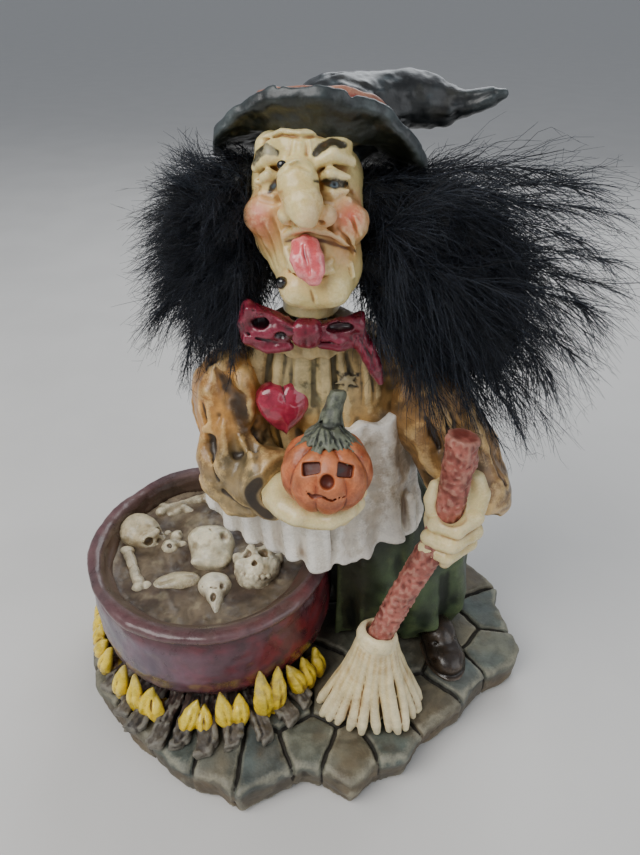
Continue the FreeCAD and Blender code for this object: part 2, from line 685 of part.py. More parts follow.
# Hat ------------------------------------------------------------------------------------------
HAT_UP = (0.10, 0.42, 0.90)  # the way the tilted hat stands up
hat_tilt = along(HAT_UP)
brim_at = (0.0, 6.2, 119.4)  # centre of the brim's underside

brim_form = doc.addObject("Part::Cone", "brim_disc")
set_sizes(brim_form, Radius1=16.4, Radius2=15.2, Height=brim_th)
place(brim_form, brim_at, hat_tilt)
# The crown folds over to her left.
crown_form = tube("crown_form", [
    ((0.3, 7.2, 121.0), HAT_UP, 10.6),
    ((1.8, 9.0, 124.0), (0.42, 0.36, 0.83), 8.6),
    ((6.6, 11.0, 125.2), (0.86, 0.30, 0.34), 6.0),
    ((13.6, 11.8, 125.0), (0.99, -0.02, -0.10), 4.7),
    ((20.6, 11.0, 124.0), (0.99, -0.10, 0.06), 3.2),
    ((27.6, 9.6, 126.0), (0.92, -0.12, 0.36), 1.0),
])
band_form = rod("band_all", (0.35, 7.0, 121.4), (0.75, 8.2, 123.9), 11.0, 10.2)
piece("hat_brim", cut("brim_free", brim_form, head))
piece("hat_crown", cut("crown_free", crown_form, head, brim_form))
piece("hat_band", cut("band_free", band_form, crown_form, brim_form, head))

# Plume hair, as the room each tuft takes up ---------------------------------------------------
hair_gap = 0.2  # clearance from the head and the neck
side_l, side_r = 3.7, -8.7  # x of the planes between the back tuft and the side tufts
strip_gap = 0.1  # clearance of the back tuft from each plane

# Everything above a plane 0.15 under the brim
above_brim = block(
    "above_brim", Vector(*brim_at) - hat_tilt.multVec(Vector(80.0, 80.0, 0.15)),
    (160.0, 160.0, 60.0), hat_tilt)
head_room = head_form("head_room", hair_gap)
neck_room = neck_rod("neck_room", neck_z - 8.0, head_z - 4.0, neck_r + hair_gap)

tuft_r_form = lofted("tuft_r_all", [
    (91.0, -17.6, 6.8, 3.4, 3.2), (95.0, -19.2, 6.8, 8.6, 7.4), (101.0, -19.8, 6.8, 10.8, 9.4),
    (108.0, -19.6, 6.8, 10.8, 9.4), (114.0, -19.0, 6.8, 8.6, 7.8), (118.8, -18.0, 6.8, 3.6, 3.4)])
piece("hair_right", cut(
    "tuft_r", tuft_r_form, above_brim, head_room,
    block("right_of", (side_r, -40.0, 60.0), (80.0, 120.0, 90.0))))

tuft_l_form = fuse(
    "tuft_l_all",
    ball("tuft_l_fan", (26.2, 8.2, 102.6), (22.6, 9.8, 14.4), Rotation(Y_AXIS, 8.0)),
    ball("tuft_l_fall", (44.0, 8.0, 86.4), (11.3, 8.6, 23.0)))
piece("hair_left", cut(
    "tuft_l", tuft_l_form, above_brim, head_room,
    block("left_of", (side_l - 80.0, -40.0, 50.0), (80.0, 120.0, 90.0))))

back_strip = block("back_strip", (side_r + strip_gap, 0.0, 93.4),
                   (side_l - side_r - 2 * strip_gap, 60.0, 60.0))
tuft_b_form = common(
    "tuft_b_mid", ball("tuft_b_all", (-2.5, 14.6, 103.4), (15.6, 8.4, 14.0)), back_strip)
piece("hair_back", cut("tuft_b", tuft_b_form, above_brim, head_room, neck_room))

# Check and write ------------------------------------------------------------------------------
doc.recompute()
failed = [obj.Name for obj in doc.Objects if "Invalid" in obj.State or "Error" in obj.State]
if failed:
    raise SystemExit("objects failed to compute: %s" % failed)
for label, obj in pieces.items():
    shape = obj.Shape
    if shape.isNull() or not shape.isValid() or not shape.Solids or shape.Volume <= 0:
        raise SystemExit("piece %s has no valid solid" % label)
os.makedirs("parts", exist_ok=True)
for label, obj in pieces.items():
    obj.Shape.exportStep("parts/%s.step" % label)
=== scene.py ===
"""A painted resin bobble-head witch beside her cauldron, on a flagstone base.

Sizes are in millimetres, turned into metres as each mesh is made. +Z is up and she faces -Y, so
her right is at -X. The "figure" body carries the base, cauldron, broom and dress. The "head" body
(head, hat and feather hair) rides on the neck spring.
"""

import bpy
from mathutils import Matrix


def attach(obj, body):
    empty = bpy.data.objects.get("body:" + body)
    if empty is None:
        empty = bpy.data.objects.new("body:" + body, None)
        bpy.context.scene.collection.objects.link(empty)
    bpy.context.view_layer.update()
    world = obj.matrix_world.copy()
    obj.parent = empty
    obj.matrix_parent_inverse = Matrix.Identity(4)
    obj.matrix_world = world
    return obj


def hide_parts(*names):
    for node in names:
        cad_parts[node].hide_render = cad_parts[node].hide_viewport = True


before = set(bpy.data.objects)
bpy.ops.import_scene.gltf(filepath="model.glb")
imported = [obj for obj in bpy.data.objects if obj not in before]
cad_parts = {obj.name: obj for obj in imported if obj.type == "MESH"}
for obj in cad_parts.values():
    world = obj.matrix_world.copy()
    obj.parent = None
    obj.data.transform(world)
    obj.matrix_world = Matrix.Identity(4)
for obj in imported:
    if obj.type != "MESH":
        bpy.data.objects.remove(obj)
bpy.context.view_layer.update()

import bpy
import functools
import math
import numpy as np
from mathutils import Vector

F32 = np.float32
CORNERS = [(i, j, k) for i in (0, 1) for j in (0, 1) for k in (0, 1)]

POT_X, POT_Y = -24.5, 4.4       # axis of the cauldron
POT = np.array([POT_X, POT_Y, 0.0])
NECK_X, NECK_Y = -1.5, 4.0      # axis of the neck and its spring
GROUND = 8.7                    # boots and bristles are cut off at this height


# ---------------------------------------------------------------------------------------------
# small maths
# ---------------------------------------------------------------------------------------------
def vec(*coords):
    return np.array(coords, float)


def turn(axis, degrees):
    """Rotation matrix about the axis named x, y or z."""
    c, s = math.cos(math.radians(degrees)), math.sin(math.radians(degrees))
    i = ("xyz".index(axis) + 1) % 3
    j = (i + 1) % 3
    matrix = np.eye(3)
    matrix[i, i] = matrix[j, j] = c
    matrix[i, j], matrix[j, i] = -s, s
    return matrix


def unit(v):
    v = np.asarray(v, float)
    return v / max(1e-9, np.linalg.norm(v))


def axes_along(direction, side=(1, 0, 0)):
    """A rotation whose local z runs along direction and whose local x is nearest to side."""
    z = unit(direction)
    x = np.asarray(side, float)
    x = x - z * (x @ z)
    if np.linalg.norm(x) < 1e-6:
        x = np.cross(z, (0, 1, 0))
    x = unit(x)
    return np.stack([x, np.cross(z, x), z], axis=1)


def offset_from(centre, axes=np.eye(3)):
    """A function that places (x, y, z), measured from centre along axes."""
    return lambda x, y, z: centre + axes @ vec(x, y, z)


def spoke(angle):
    """Outward and sideways directions at an angle in radians round a vertical axis."""
    c, s = math.cos(angle), math.sin(angle)
    return vec(c, s, 0), vec(-s, c, 0)


def rgb(r, g, b):
    c = np.array([r, g, b], float) / 255.0
    return np.where(c <= 0.04045, c / 12.92, ((c + 0.055) / 1.055) ** 2.4)


def ease(start, end, x):
    t = np.clip((x - start) / (end - start), 0, 1)
    return t * t * (3 - 2 * t)


def bell(x, centre, width):
    return np.exp(-((x - centre) / width) ** 2)


def mix(a, b, t):
    t = np.asarray(t)[..., None]
    return a * (1 - t) + b * t


def soft_min(a, b, soft):
    if soft <= 0:
        return np.minimum(a, b)
    h = np.clip(0.5 + 0.5 * (b - a) / soft, 0, 1)
    return b + (a - b) * h - soft * h * (1 - h)


def soft_max(a, b, soft):
    return -soft_min(-a, -b, soft)


def corner_weights(part):
    """The eight corners of a cell, each with its trilinear weights at the fractions part."""
    for corner in CORNERS:
        share = np.where(corner, part, 1 - part)
        yield corner, share[:, 0] * share[:, 1] * share[:, 2]


@functools.lru_cache(None)
def lattice(seed):
    return np.random.default_rng(seed).uniform(-1, 1, (32, 32, 32)).astype(F32)


def noise(points, scale, seed):
    """Smooth noise in -1..1 at points, with features about scale across."""
    t = np.asarray(points, float) / scale + 1000.0
    cell = np.floor(t).astype(int)
    part = t - cell
    part = part * part * (3 - 2 * part)
    out = 0.0
    for corner, weight in corner_weights(part):
        out = out + weight * lattice(seed)[tuple(((cell + corner) % 32).T)]
    return out


def mottle(points, scale, seed):
    """Three octaves of noise."""
    out, amp, total = 0.0, 1.0, 0.0
    for k in range(3):
        out = out + amp * noise(points, scale, seed + k)
        total += amp
        amp *= 0.55
        scale *= 0.5
    return out / total * 1.4


# ---------------------------------------------------------------------------------------------
# clay: a distance field on a grid
# ---------------------------------------------------------------------------------------------
class Clay:
    """A box of grid points holding the distance to a surface, below 0 inside it.

    soft is the width over which a shape is blended into the clay.
    """
    BAND = 3.0      # distances are trusted this far from the surface

    def __init__(self, low, high, step):
        self.step = step
        self.low = np.array(low, float)
        self.count = [int(math.ceil((high[i] - low[i]) / step)) + 1 for i in range(3)]
        self.dist = np.full(self.count, self.BAND, F32)
        self.axes = [(low[i] + step * np.arange(self.count[i])).astype(F32) for i in range(3)]

    def grid(self, window=(slice(None),) * 3):
        return np.ix_(*(axis[part] for axis, part in zip(self.axes, window)))

    def _merge(self, merge, sign, soft, shape):
        low, high, distance = shape
        pad = self.BAND + soft
        window = []
        for i in range(3):
            first = math.floor((low[i] - pad - self.low[i]) / self.step)
            last = math.ceil((high[i] + pad - self.low[i]) / self.step) + 1
            first, last = max(0, int(first)), min(self.count[i], int(last))
            if last - first < 1:
                return
            window.append(slice(first, last))
        window = tuple(window)
        new = sign * distance(*self.grid(window)).astype(F32)
        self.dist[window] = merge(self.dist[window], new, soft)

    def put(self, soft, *shapes):
        for shape in shapes:
            self._merge(soft_min, 1, soft, shape)
        return self

    def dig(self, soft, *shapes):
        for shape in shapes:
            self._merge(soft_max, -1, soft, shape)
        return self

    def keep(self, distance):
        """Keeps only the clay where distance(x, y, z) is below 0."""
        self.dist = np.maximum(self.dist, distance(*self.grid()).astype(F32))
        return self

    def fill(self, distance):
        self.dist = np.clip(distance, -self.BAND, self.BAND).astype(F32)

    def ripple(self, scale, seed):
        """Smooth noise on the grid; scale may be a number or one per axis."""
        scales = [scale] * 3 if np.isscalar(scale) else scale
        rng = np.random.default_rng(seed)
        dims = [int((axis[-1] - axis[0]) / s) + 3 for axis, s in zip(self.axes, scales)]
        out = rng.uniform(-1, 1, dims).astype(F32)
        for i in range(3):
            t = (self.axes[i] - self.axes[i][0]) / scales[i]
            j = np.floor(t).astype(int)
            part = (t - j).astype(F32)
            part = part * part * (3 - 2 * part)
            shape = [1, 1, 1]
            shape[i] = len(part)
            part = part.reshape(shape)
            out = np.take(out, j, axis=i) * (1 - part) + np.take(out, j + 1, axis=i) * part
        return out

    def rough(self, *bumps):
        """Adds ripples, each given as (scale, height, seed)."""
        self.dist += sum(height * self.ripple(scale, seed) for scale, height, seed in bumps)
        return self

    def sample(self, points, grid=None):
        values = self.dist if grid is None else grid
        t = (np.asarray(points, float) - self.low) / self.step
        cell = np.clip(np.floor(t).astype(int), 0, np.array(self.count) - 2)
        out = 0.0
        for corner, weight in corner_weights(np.clip(t - cell, 0, 1)):
            out = out + weight * values[tuple((cell + corner).T)]
        return out

    def blurred(self, size):
        reach = max(1, int(round(size / self.step)))
        out = np.clip(self.dist, -1.5 * size, 1.5 * size)
        for axis in range(3):
            pad = [(0, 0)] * 3
            pad[axis] = (reach + 1, reach)
            sums = np.cumsum(np.pad(out, pad, mode="edge"), axis=axis, dtype=F32)
            late, early = [slice(None)] * 3, [slice(None)] * 3
            late[axis] = slice(2 * reach + 1, None)
            early[axis] = slice(0, -(2 * reach + 1))
            out = (sums[tuple(late)] - sums[tuple(early)]) / (2 * reach + 1)
        return out

    def cavity(self, points, size):
        """Above 0 in a recess, below 0 on a ridge."""
        return np.clip(-self.sample(points, self.blurred(size)) / (0.28 * size), -1.5, 1.5)

    def normals(self, points):
        slope = []
        for i in range(3):
            nudge = np.zeros(3)
            nudge[i] = self.step * 0.7
            slope.append(self.sample(points + nudge) - self.sample(points - nudge))
        slope = np.stack(slope, 1)
        return slope / np.maximum(1e-9, np.linalg.norm(slope, axis=1, keepdims=True))

    def ray(self, start, direction):
        """The first surface point from start along direction, within 40."""
        start, direction = np.asarray(start, float), unit(direction)
        reach = np.arange(0, 40.0, self.step * 0.5)
        dist = self.sample(start[None] + reach[:, None] * direction[None])
        inside = np.nonzero(dist < 0)[0]
        return start + direction * (reach[inside[0]] if len(inside) else 20.0)

    def mesh(self):
        """Points and quads of the surface, one point in each cell that it crosses."""
        dist = self.dist
        for axis in range(3):
            for end in (0, -1):
                face = [slice(None)] * 3
                face[axis] = end
                dist[tuple(face)] = np.maximum(dist[tuple(face)], 0.05)
        solid = dist < 0
        hits = np.zeros([n - 1 for n in dist.shape], np.int8)
        rows, cols, tiers = hits.shape
        for i, j, k in CORNERS:
            hits += solid[i:i + rows, j:j + cols, k:k + tiers]
        crossed = (hits > 0) & (hits < 8)
        cells = np.argwhere(crossed)
        if not len(cells):
            raise RuntimeError("a clay piece came out empty")
        value = {c: dist[tuple((cells + c).T)].astype(float) for c in CORNERS}
        total = np.zeros((len(cells), 3))
        count = np.zeros(len(cells))
        for corner in CORNERS:
            for axis in range(3):
                if corner[axis] == 0:
                    here = value[corner]
                    there = value[corner[:axis] + (1,) + corner[axis + 1:]]
                    cut = (here < 0) != (there < 0)
                    share = np.where(cut, here / np.where(cut, here - there, 1), 0)
                    place = np.tile(np.array(corner, float), (len(cells), 1))
                    place[:, axis] += share
                    total += place * cut[:, None]
                    count += cut
        points = (cells + total / count[:, None]) * self.step + self.low
        number = np.full(crossed.shape, -1, np.int64)
        number[crossed] = np.arange(len(cells))
        quads = []
        for axis in range(3):
            u, v = [(1, 2), (2, 0), (0, 1)][axis]
            here, there = [slice(None)] * 3, [slice(None)] * 3
            here[axis] = slice(0, -1)
            there[axis] = slice(1, None)
            solid_here = solid[tuple(here)]
            edges = np.argwhere(solid_here != solid[tuple(there)])
            within = (edges[:, u] > 0) & (edges[:, v] > 0)
            within &= (edges[:, u] < dist.shape[u] - 1) & (edges[:, v] < dist.shape[v] - 1)
            edges = edges[within]
            outward = solid_here[tuple(edges.T)]
            quad = []
            for back_u, back_v in ((1, 1), (0, 1), (0, 0), (1, 0)):
                cell = edges.copy()
                cell[:, u] -= back_u
                cell[:, v] -= back_v
                quad.append(number[tuple(cell.T)])
            quad = np.stack(quad, 1)
            quad[~outward] = quad[~outward][:, ::-1]
            quads.append(quad)
        quads = np.concatenate(quads)
        return points, quads[(quads >= 0).all(1)]


def drop_crumbs(points, quads, least):
    """Leaves out loose specks of a mesh with fewer than least points."""
    label = np.arange(len(points))
    for _ in range(400):
        lowest = label[quads].min(1)
        new = label.copy()
        for j in range(quads.shape[1]):
            np.minimum.at(new, quads[:, j], lowest)
        new = new[new]
        if (new == label).all():
            break
        label = new
    keep = np.bincount(label, minlength=len(points))[label] >= least
    if keep.all():
        return points, quads
    renumber = np.cumsum(keep) - 1
    return points[keep], renumber[quads[keep[quads].all(1)]]


# ---------------------------------------------------------------------------------------------
# shapes: (lowest corner, highest corner, distance)
# ---------------------------------------------------------------------------------------------
def project(x, y, z, axes):
    """x, y, z measured along the columns of axes."""
    return [F32(axes[0, i]) * x + F32(axes[1, i]) * y + F32(axes[2, i]) * z for i in range(3)]


def egg(centre, radii, axes=None):
    centre, radii = np.asarray(centre, float), np.asarray(radii, float) * np.ones(3)
    reach = radii if axes is None else np.sqrt(((axes * radii) ** 2).sum(1))
    inverse = [F32(1 / r) for r in radii]

    def distance(x, y, z):
        x, y, z = x - F32(centre[0]), y - F32(centre[1]), z - F32(centre[2])
        if axes is not None:
            x, y, z = project(x, y, z, axes)
        scaled = [p * k for p, k in zip((x, y, z), inverse)]
        a, b, c = scaled
        size = np.sqrt(a * a + b * b + c * c)
        a, b, c = [p * k for p, k in zip(scaled, inverse)]
        return size * (size - 1) / (np.sqrt(a ** 2 + b ** 2 + c ** 2) + F32(1e-6))
    return centre - reach, centre + reach, distance


def pill(start, end, radius, end_radius=None):
    start, end = np.asarray(start, float), np.asarray(end, float)
    end_radius = radius if end_radius is None else end_radius
    span = end - start
    square = max(1e-9, float(span @ span))
    reach = max(radius, end_radius)
    along = [F32(s) for s in span]

    def distance(x, y, z):
        x, y, z = x - F32(start[0]), y - F32(start[1]), z - F32(start[2])
        t = (x * along[0] + y * along[1] + z * along[2]) * F32(1 / square)
        t = np.clip(t, 0, 1)
        x = x - t * along[0]
        y = y - t * along[1]
        z = z - t * along[2]
        return np.sqrt(x * x + y * y + z * z) - (F32(radius) + F32(end_radius - radius) * t)
    return np.minimum(start, end) - reach, np.maximum(start, end) + reach, distance


def chain(points, radii):
    """Pills end to end; radii is a number or one per point."""
    points = [np.asarray(p, float) for p in points]
    if np.isscalar(radii):
        radii = [radii] * len(points)
    parts = [pill(*ends) for ends in zip(points, points[1:], radii, radii[1:])]
    low = np.min([p[0] for p in parts], axis=0)
    high = np.max([p[1] for p in parts], axis=0)
    return low, high, lambda x, y, z: functools.reduce(np.minimum, (p[2](x, y, z) for p in parts))


def groove(points, radius, first, last, middle=1):
    """A chain whose ends are thinned to the shares first and last of radius."""
    radii = [radius * first] + [radius * middle] * (len(points) - 2) + [radius * last]
    return chain(points, radii)


def placed(centre, axes, local, size):
    """A shape given in its own axes, the columns of axes, within size of centre."""
    centre = np.asarray(centre, float)
    reach = np.sqrt(((axes * np.asarray(size, float)) ** 2).sum(1))

    def distance(x, y, z):
        x, y, z = x - F32(centre[0]), y - F32(centre[1]), z - F32(centre[2])
        return local(*project(x, y, z, axes))
    return centre - reach, centre + reach, distance


def leaf(start, end, side, width, thick, profile):
    """A blade of half width and half thickness, with (share of length, share of width) rows."""
    start, end = np.asarray(start, float), np.asarray(end, float)
    axes = axes_along(end - start, side)
    length = float(np.linalg.norm(end - start))
    shares, widths = zip(*profile)

    def local(x, y, z):
        k = np.interp(np.clip(z / length, 0, 1), shares, widths).astype(F32)
        over = np.maximum(np.maximum(-z, z - length), 0)
        half = width * k + 0.05
        ring = np.sqrt((x / half) ** 2 + (y / (thick * (0.4 + 0.6 * k))) ** 2)
        gap = (ring - 1) * np.minimum(half, thick)
        return np.sqrt(np.maximum(gap, 0) ** 2 + over ** 2) + np.minimum(gap, 0)
    base = (start + end) / 2 - axes[:, 2] * length / 2
    return placed(base, axes, local, (width + 1, thick + 1, length + 1))


def outline_distance(x, y, outline):
    """Signed distance in a plane to a closed outline."""
    square = np.full(np.broadcast(x, y).shape, 1e9)
    inside = np.zeros(square.shape, bool)
    for i in range(len(outline)):
        a, b = np.asarray(outline[i], float), np.asarray(outline[(i + 1) % len(outline)], float)
        edge = b - a
        from_x, from_y = x - a[0], y - a[1]
        t = np.clip((from_x * edge[0] + from_y * edge[1]) / (edge @ edge), 0, 1)
        square = np.minimum(square, (from_x - t * edge[0]) ** 2 + (from_y - t * edge[1]) ** 2)
        if abs(edge[1]) > 1e-9:
            spans = (a[1] > y) != (b[1] > y)
            inside ^= spans & (x < edge[0] * (y - a[1]) / edge[1] + a[0])
    dist = np.sqrt(square)
    return np.where(inside, -dist, dist)


def plan_grid(clay):
    """The clay's x and y as flat grids, and a function giving mottle over them."""
    x, y = np.meshgrid(clay.axes[0], clay.axes[1], indexing="ij")
    points = np.stack([x.ravel(), y.ravel(), np.zeros(x.size)], 1)
    return x, y, lambda scale, seed: mottle(points, scale, seed).reshape(x.shape)


def clear_bore(clay, radius, bottom, top):
    """Clears an upright hole on the neck axis."""
    clay.keep(lambda x, y, z: -np.maximum(
        np.sqrt((x - NECK_X) ** 2 + (y - NECK_Y) ** 2) - radius, np.maximum(bottom - z, z - top)))


# ---------------------------------------------------------------------------------------------
# meshes
# ---------------------------------------------------------------------------------------------
def make_mesh(name, points, faces, material, paint, cavity=None):
    """faces is a list of index arrays, each with one face to a row."""
    me = bpy.data.meshes.new(name)
    me.vertices.add(len(points))
    me.vertices.foreach_set("co", (np.asarray(points, float) * 0.001).astype(F32).ravel())
    corners = np.concatenate([f.ravel() for f in faces]).astype(np.int32)
    starts, first = [], 0
    for f in faces:
        starts.append(first + np.arange(len(f)) * f.shape[1])
        first += f.size
    starts = np.concatenate(starts).astype(np.int32)
    me.loops.add(len(corners))
    me.loops.foreach_set("vertex_index", corners)
    me.polygons.add(len(starts))
    me.polygons.foreach_set("loop_start", starts)
    me.polygons.foreach_set("use_smooth", np.full(len(starts), True))
    me.update(calc_edges=True)
    me.validate()
    rgba = np.ones((len(points), 4), F32)
    rgba[:, :3] = np.clip(paint, 0, 1)
    layer = me.color_attributes.new("paint", "FLOAT_COLOR", "POINT")
    layer.data.foreach_set("color", rgba.ravel())
    if cavity is not None:
        layer = me.attributes.new("cav", "FLOAT", "POINT")
        layer.data.foreach_set("value", cavity.astype(F32))
    me.materials.append(material)
    ob = bpy.data.objects.new(name, me)
    bpy.context.scene.collection.objects.link(ob)
    return ob


def register(ob, body, node):
    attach(ob, body)
    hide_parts(node)


def skin(clay, name, node, material, paint, hollows, body="figure", crumbs=60):
    """Meshes and paints the clay. hollows holds the fine and broad sizes of recess measured."""
    points, quads = clay.mesh()
    points, quads = drop_crumbs(points, quads, crumbs)
    fine, broad = [0.6 * clay.cavity(points, size) for size in hollows]
    colour = paint(points, clay.normals(points))
    cavity = np.clip(fine + broad, -1.5, 1.5)
    ob = make_mesh(name, points, [quads], material, colour, cavity)
    register(ob, body, node)


def layered(colour, *layers):
    """Lays (colour, amount) layers one after another over per-point colours."""
    for layer, amount in layers:
        colour = mix(colour, rgb(*layer), amount)
    return colour


def coats(points, base, *layers):
    return layered(np.tile(rgb(*base), (len(points), 1)), *layers)


def plain(*colour):
    return lambda points, normals: coats(points, colour)


def patch(points, scale, seed, start, end):
    """Patches about scale across, easing in as the mottle goes from start to end."""
    return ease(start, end, mottle(points, scale, seed))


def spot(points, centre, radius, outer, inner):
    """1 within inner radii of centre, fading to 0 at outer radii."""
    away = np.linalg.norm(points - np.asarray(centre), axis=1)
    return ease(radius * outer, radius * inner, away)


def from_pot(points):
    return np.hypot(points[:, 0] - POT_X, points[:, 1] - POT_Y)


# ---------------------------------------------------------------------------------------------
# materials
# ---------------------------------------------------------------------------------------------
class Shader:
    """A node material; every method adds a node and returns its output."""

    def __init__(self, name):
        self.material = bpy.data.materials.new(name)
        self.material.use_nodes = True
        self.tree = self.material.node_tree
        self.tree.nodes.clear()
        out = self.tree.nodes.new("ShaderNodeOutputMaterial")
        self.surface = self.tree.nodes.new("ShaderNodeBsdfPrincipled")
        self.tree.links.new(self.surface.outputs[0], out.inputs[0])
        self.place = self.tree.nodes.new("ShaderNodeTexCoord").outputs["Object"]

    def feed(self, socket, value):
        if isinstance(value, bpy.types.NodeSocket):
            self.tree.links.new(value, socket)
            return
        if hasattr(socket.default_value, "__len__") and not np.isscalar(value):
            value = list(value)
            if len(socket.default_value) == 4 and len(value) == 3:
                value = value + [1.0]
        socket.default_value = value

    def set(self, name, value):
        self.feed(self.surface.inputs[name], value)

    def noise(self, scale, detail, rough, stretch=None, distortion=0.0):
        node = self.tree.nodes.new("ShaderNodeTexNoise")
        node.inputs["Scale"].default_value = scale
        node.inputs["Detail"].default_value = detail
        node.inputs["Roughness"].default_value = rough
        node.inputs["Distortion"].default_value = distortion
        place = self.place
        if stretch is not None:
            mapping = self.tree.nodes.new("ShaderNodeMapping")
            self.tree.links.new(place, mapping.inputs[0])
            mapping.inputs["Scale"].default_value = stretch
            place = mapping.outputs[0]
        self.tree.links.new(place, node.inputs["Vector"])
        return node.outputs[0]

    def attribute(self, name, output):
        node = self.tree.nodes.new("ShaderNodeAttribute")
        node.attribute_name = name
        return node.outputs[output]

    def math(self, operation, a, b):
        node = self.tree.nodes.new("ShaderNodeMath")
        node.operation = operation
        self.feed(node.inputs[0], a)
        self.feed(node.inputs[1], b)
        return node.outputs[0]

    def ramp(self, value, start, end, low=0.0, high=1.0):
        """Eases from low to high as value goes from start to end."""
        node = self.tree.nodes.new("ShaderNodeMapRange")
        node.interpolation_type = "SMOOTHSTEP"
        self.feed(node.inputs[0], value)
        for i, number in zip((1, 2, 3, 4), (start, end, low, high)):
            node.inputs[i].default_value = number
        return node.outputs[0]

    def blend(self, a, b, amount, mode="MIX"):
        node = self.tree.nodes.new("ShaderNodeMix")
        node.data_type = "RGBA"
        node.blend_type = mode
        node.clamp_factor = True
        for i, value in zip((0, 6, 7), (amount, a, b)):
            self.feed(node.inputs[i], value)
        return node.outputs[2]

    def bump(self, height, strength, distance, under=None):
        node = self.tree.nodes.new("ShaderNodeBump")
        node.inputs["Strength"].default_value = strength
        node.inputs["Distance"].default_value = distance
        self.tree.links.new(height, node.inputs["Height"])
        if under is not None:
            self.tree.links.new(under, node.inputs["Normal"])
        return node.outputs[0]


def resin(name, rough, wash, dry, mottle=(420, 0.22), bump=0.25, bump_scale=2200.0, coat=None,
          subsurface=None):
    """Hand-painted cast resin over the mesh's paint.

    rough   least and most roughness
    wash    dark paint in recesses: colour, most cover, cavity where it starts and is full
    dry     dry-brushed ridges: colour, most cover, ridge height where it starts and is full
    mottle  scale and strength of the broad light and dark
    coat    weight and roughness of the varnish
    """
    wash_colour, wash_most, wash_from, wash_to = wash
    dry_colour, dry_most, dry_from, dry_to = dry
    mottle_scale, mottle_amount = mottle
    s = Shader(name)
    paint = s.attribute("paint", "Color")
    cavity = s.attribute("cav", "Fac")
    grain = s.noise(scale=2600.0, detail=4.0, rough=0.6)
    broad = s.noise(scale=mottle_scale, detail=4.0, rough=0.6, distortion=0.6)
    wobble = s.math("MULTIPLY", s.math("SUBTRACT", broad, 0.5), 0.9)
    washed = s.ramp(s.math("ADD", cavity, wobble), wash_from, wash_to, 0.0, wash_most)
    fine = s.math("MULTIPLY", s.math("SUBTRACT", grain, 0.5), 0.8)
    ridge = s.math("ADD", s.math("MULTIPLY", cavity, -1.0), fine)
    brushed = s.ramp(ridge, dry_from, dry_to, 0.0, dry_most)
    colour = s.blend(paint, wash_colour, washed)
    colour = s.blend(colour, dry_colour, brushed)
    shade = s.ramp(broad, 0.3, 0.7, 1.0 - mottle_amount, 1.0 + mottle_amount)
    colour = s.blend(colour, shade, 1.0, "MULTIPLY")
    shade = s.ramp(grain, 0.25, 0.75, 0.93, 1.07)
    colour = s.blend(colour, shade, 1.0, "MULTIPLY")
    s.set("Base Color", colour)
    dullness = s.math("ADD", broad, s.math("MULTIPLY", washed, 0.3))
    s.set("Roughness", s.ramp(dullness, 0.3, 0.8, *rough))
    s.set("Specular IOR Level", 0.45)
    if coat:
        s.set("Coat Weight", coat[0])
        s.set("Coat Roughness", coat[1])
    if subsurface:
        s.set("Subsurface Weight", subsurface)
        s.set("Subsurface Radius", (1.0, 0.5, 0.25))
        s.set("Subsurface Scale", 0.0012)
    pits = s.noise(scale=bump_scale, detail=5.0, rough=0.65)
    pits = s.bump(pits, strength=bump, distance=0.00012)
    swells = s.noise(scale=bump_scale * 0.25, detail=3.0, rough=0.5)
    s.set("Normal", s.bump(swells, strength=bump * 0.8, distance=0.0003, under=pits))
    return s.material


STONE = resin("paved_stone", rough=(0.5, 0.75), wash=(rgb(34, 29, 24), 0.9, 0.1, 0.7),
              dry=(rgb(150, 146, 128), 0.42, 0.35, 1.0), mottle=(230, 0.34), bump=0.5)
IRON = resin("cauldron_paint", rough=(0.24, 0.42), wash=(rgb(30, 18, 18), 0.75, 0.1, 0.75),
             dry=(rgb(120, 96, 98), 0.25, 0.4, 0.8), mottle=(150, 0.3), bump=0.28,
             coat=(0.35, 0.25))
STEW = resin("stew_paint", rough=(0.35, 0.55), wash=(rgb(52, 42, 34), 0.85, 0.05, 0.6),
             dry=(rgb(150, 138, 112), 0.4, 0.3, 0.8), mottle=(220, 0.32), bump=0.3)
BONE = resin("bone_paint", rough=(0.3, 0.5), wash=(rgb(112, 88, 58), 0.85, 0.12, 0.8),
             dry=(rgb(226, 216, 186), 0.5, 0.25, 0.8), mottle=(300, 0.22), bump=0.22,
             coat=(0.2, 0.2), subsurface=0.08)
LOG = resin("log_paint", rough=(0.45, 0.7), wash=(rgb(30, 24, 20), 0.95, 0.0, 0.5),
            dry=(rgb(134, 130, 118), 0.5, 0.3, 0.8), mottle=(300, 0.3), bump=0.4)
FLAME = resin("flame_paint", rough=(0.22, 0.4), wash=(rgb(72, 24, 16), 0.85, 0.2, 0.8),
              dry=(rgb(244, 222, 96), 0.35, 0.25, 0.8), mottle=(400, 0.2), bump=0.2,
              coat=(0.5, 0.2))
BARK = resin("broom_bark_paint", rough=(0.4, 0.65), wash=(rgb(92, 44, 36), 0.7, 0.05, 0.9),
             dry=(rgb(184, 138, 120), 0.45, 0.2, 1.0), mottle=(350, 0.22), bump=1.0,
             bump_scale=1300)
STRAW = resin("broom_straw_paint", rough=(0.32, 0.5), wash=(rgb(120, 84, 40), 0.95, 0.0, 0.5),
              dry=(rgb(240, 228, 188), 0.45, 0.2, 0.8), mottle=(300, 0.14), bump=0.18,
              coat=(0.15, 0.2), subsurface=0.06)
GREEN = resin("dress_green_paint", rough=(0.4, 0.6), wash=(rgb(10, 14, 9), 0.85, 0.0, 0.5),
              dry=(rgb(110, 128, 84), 0.35, 0.25, 0.8), mottle=(200, 0.3), bump=0.3)
BOOT = resin("boot_paint", rough=(0.25, 0.45), wash=(rgb(8, 6, 5), 0.75, 0.1, 0.75),
             dry=(rgb(120, 100, 80), 0.3, 0.25, 0.8), coat=(0.4, 0.2))
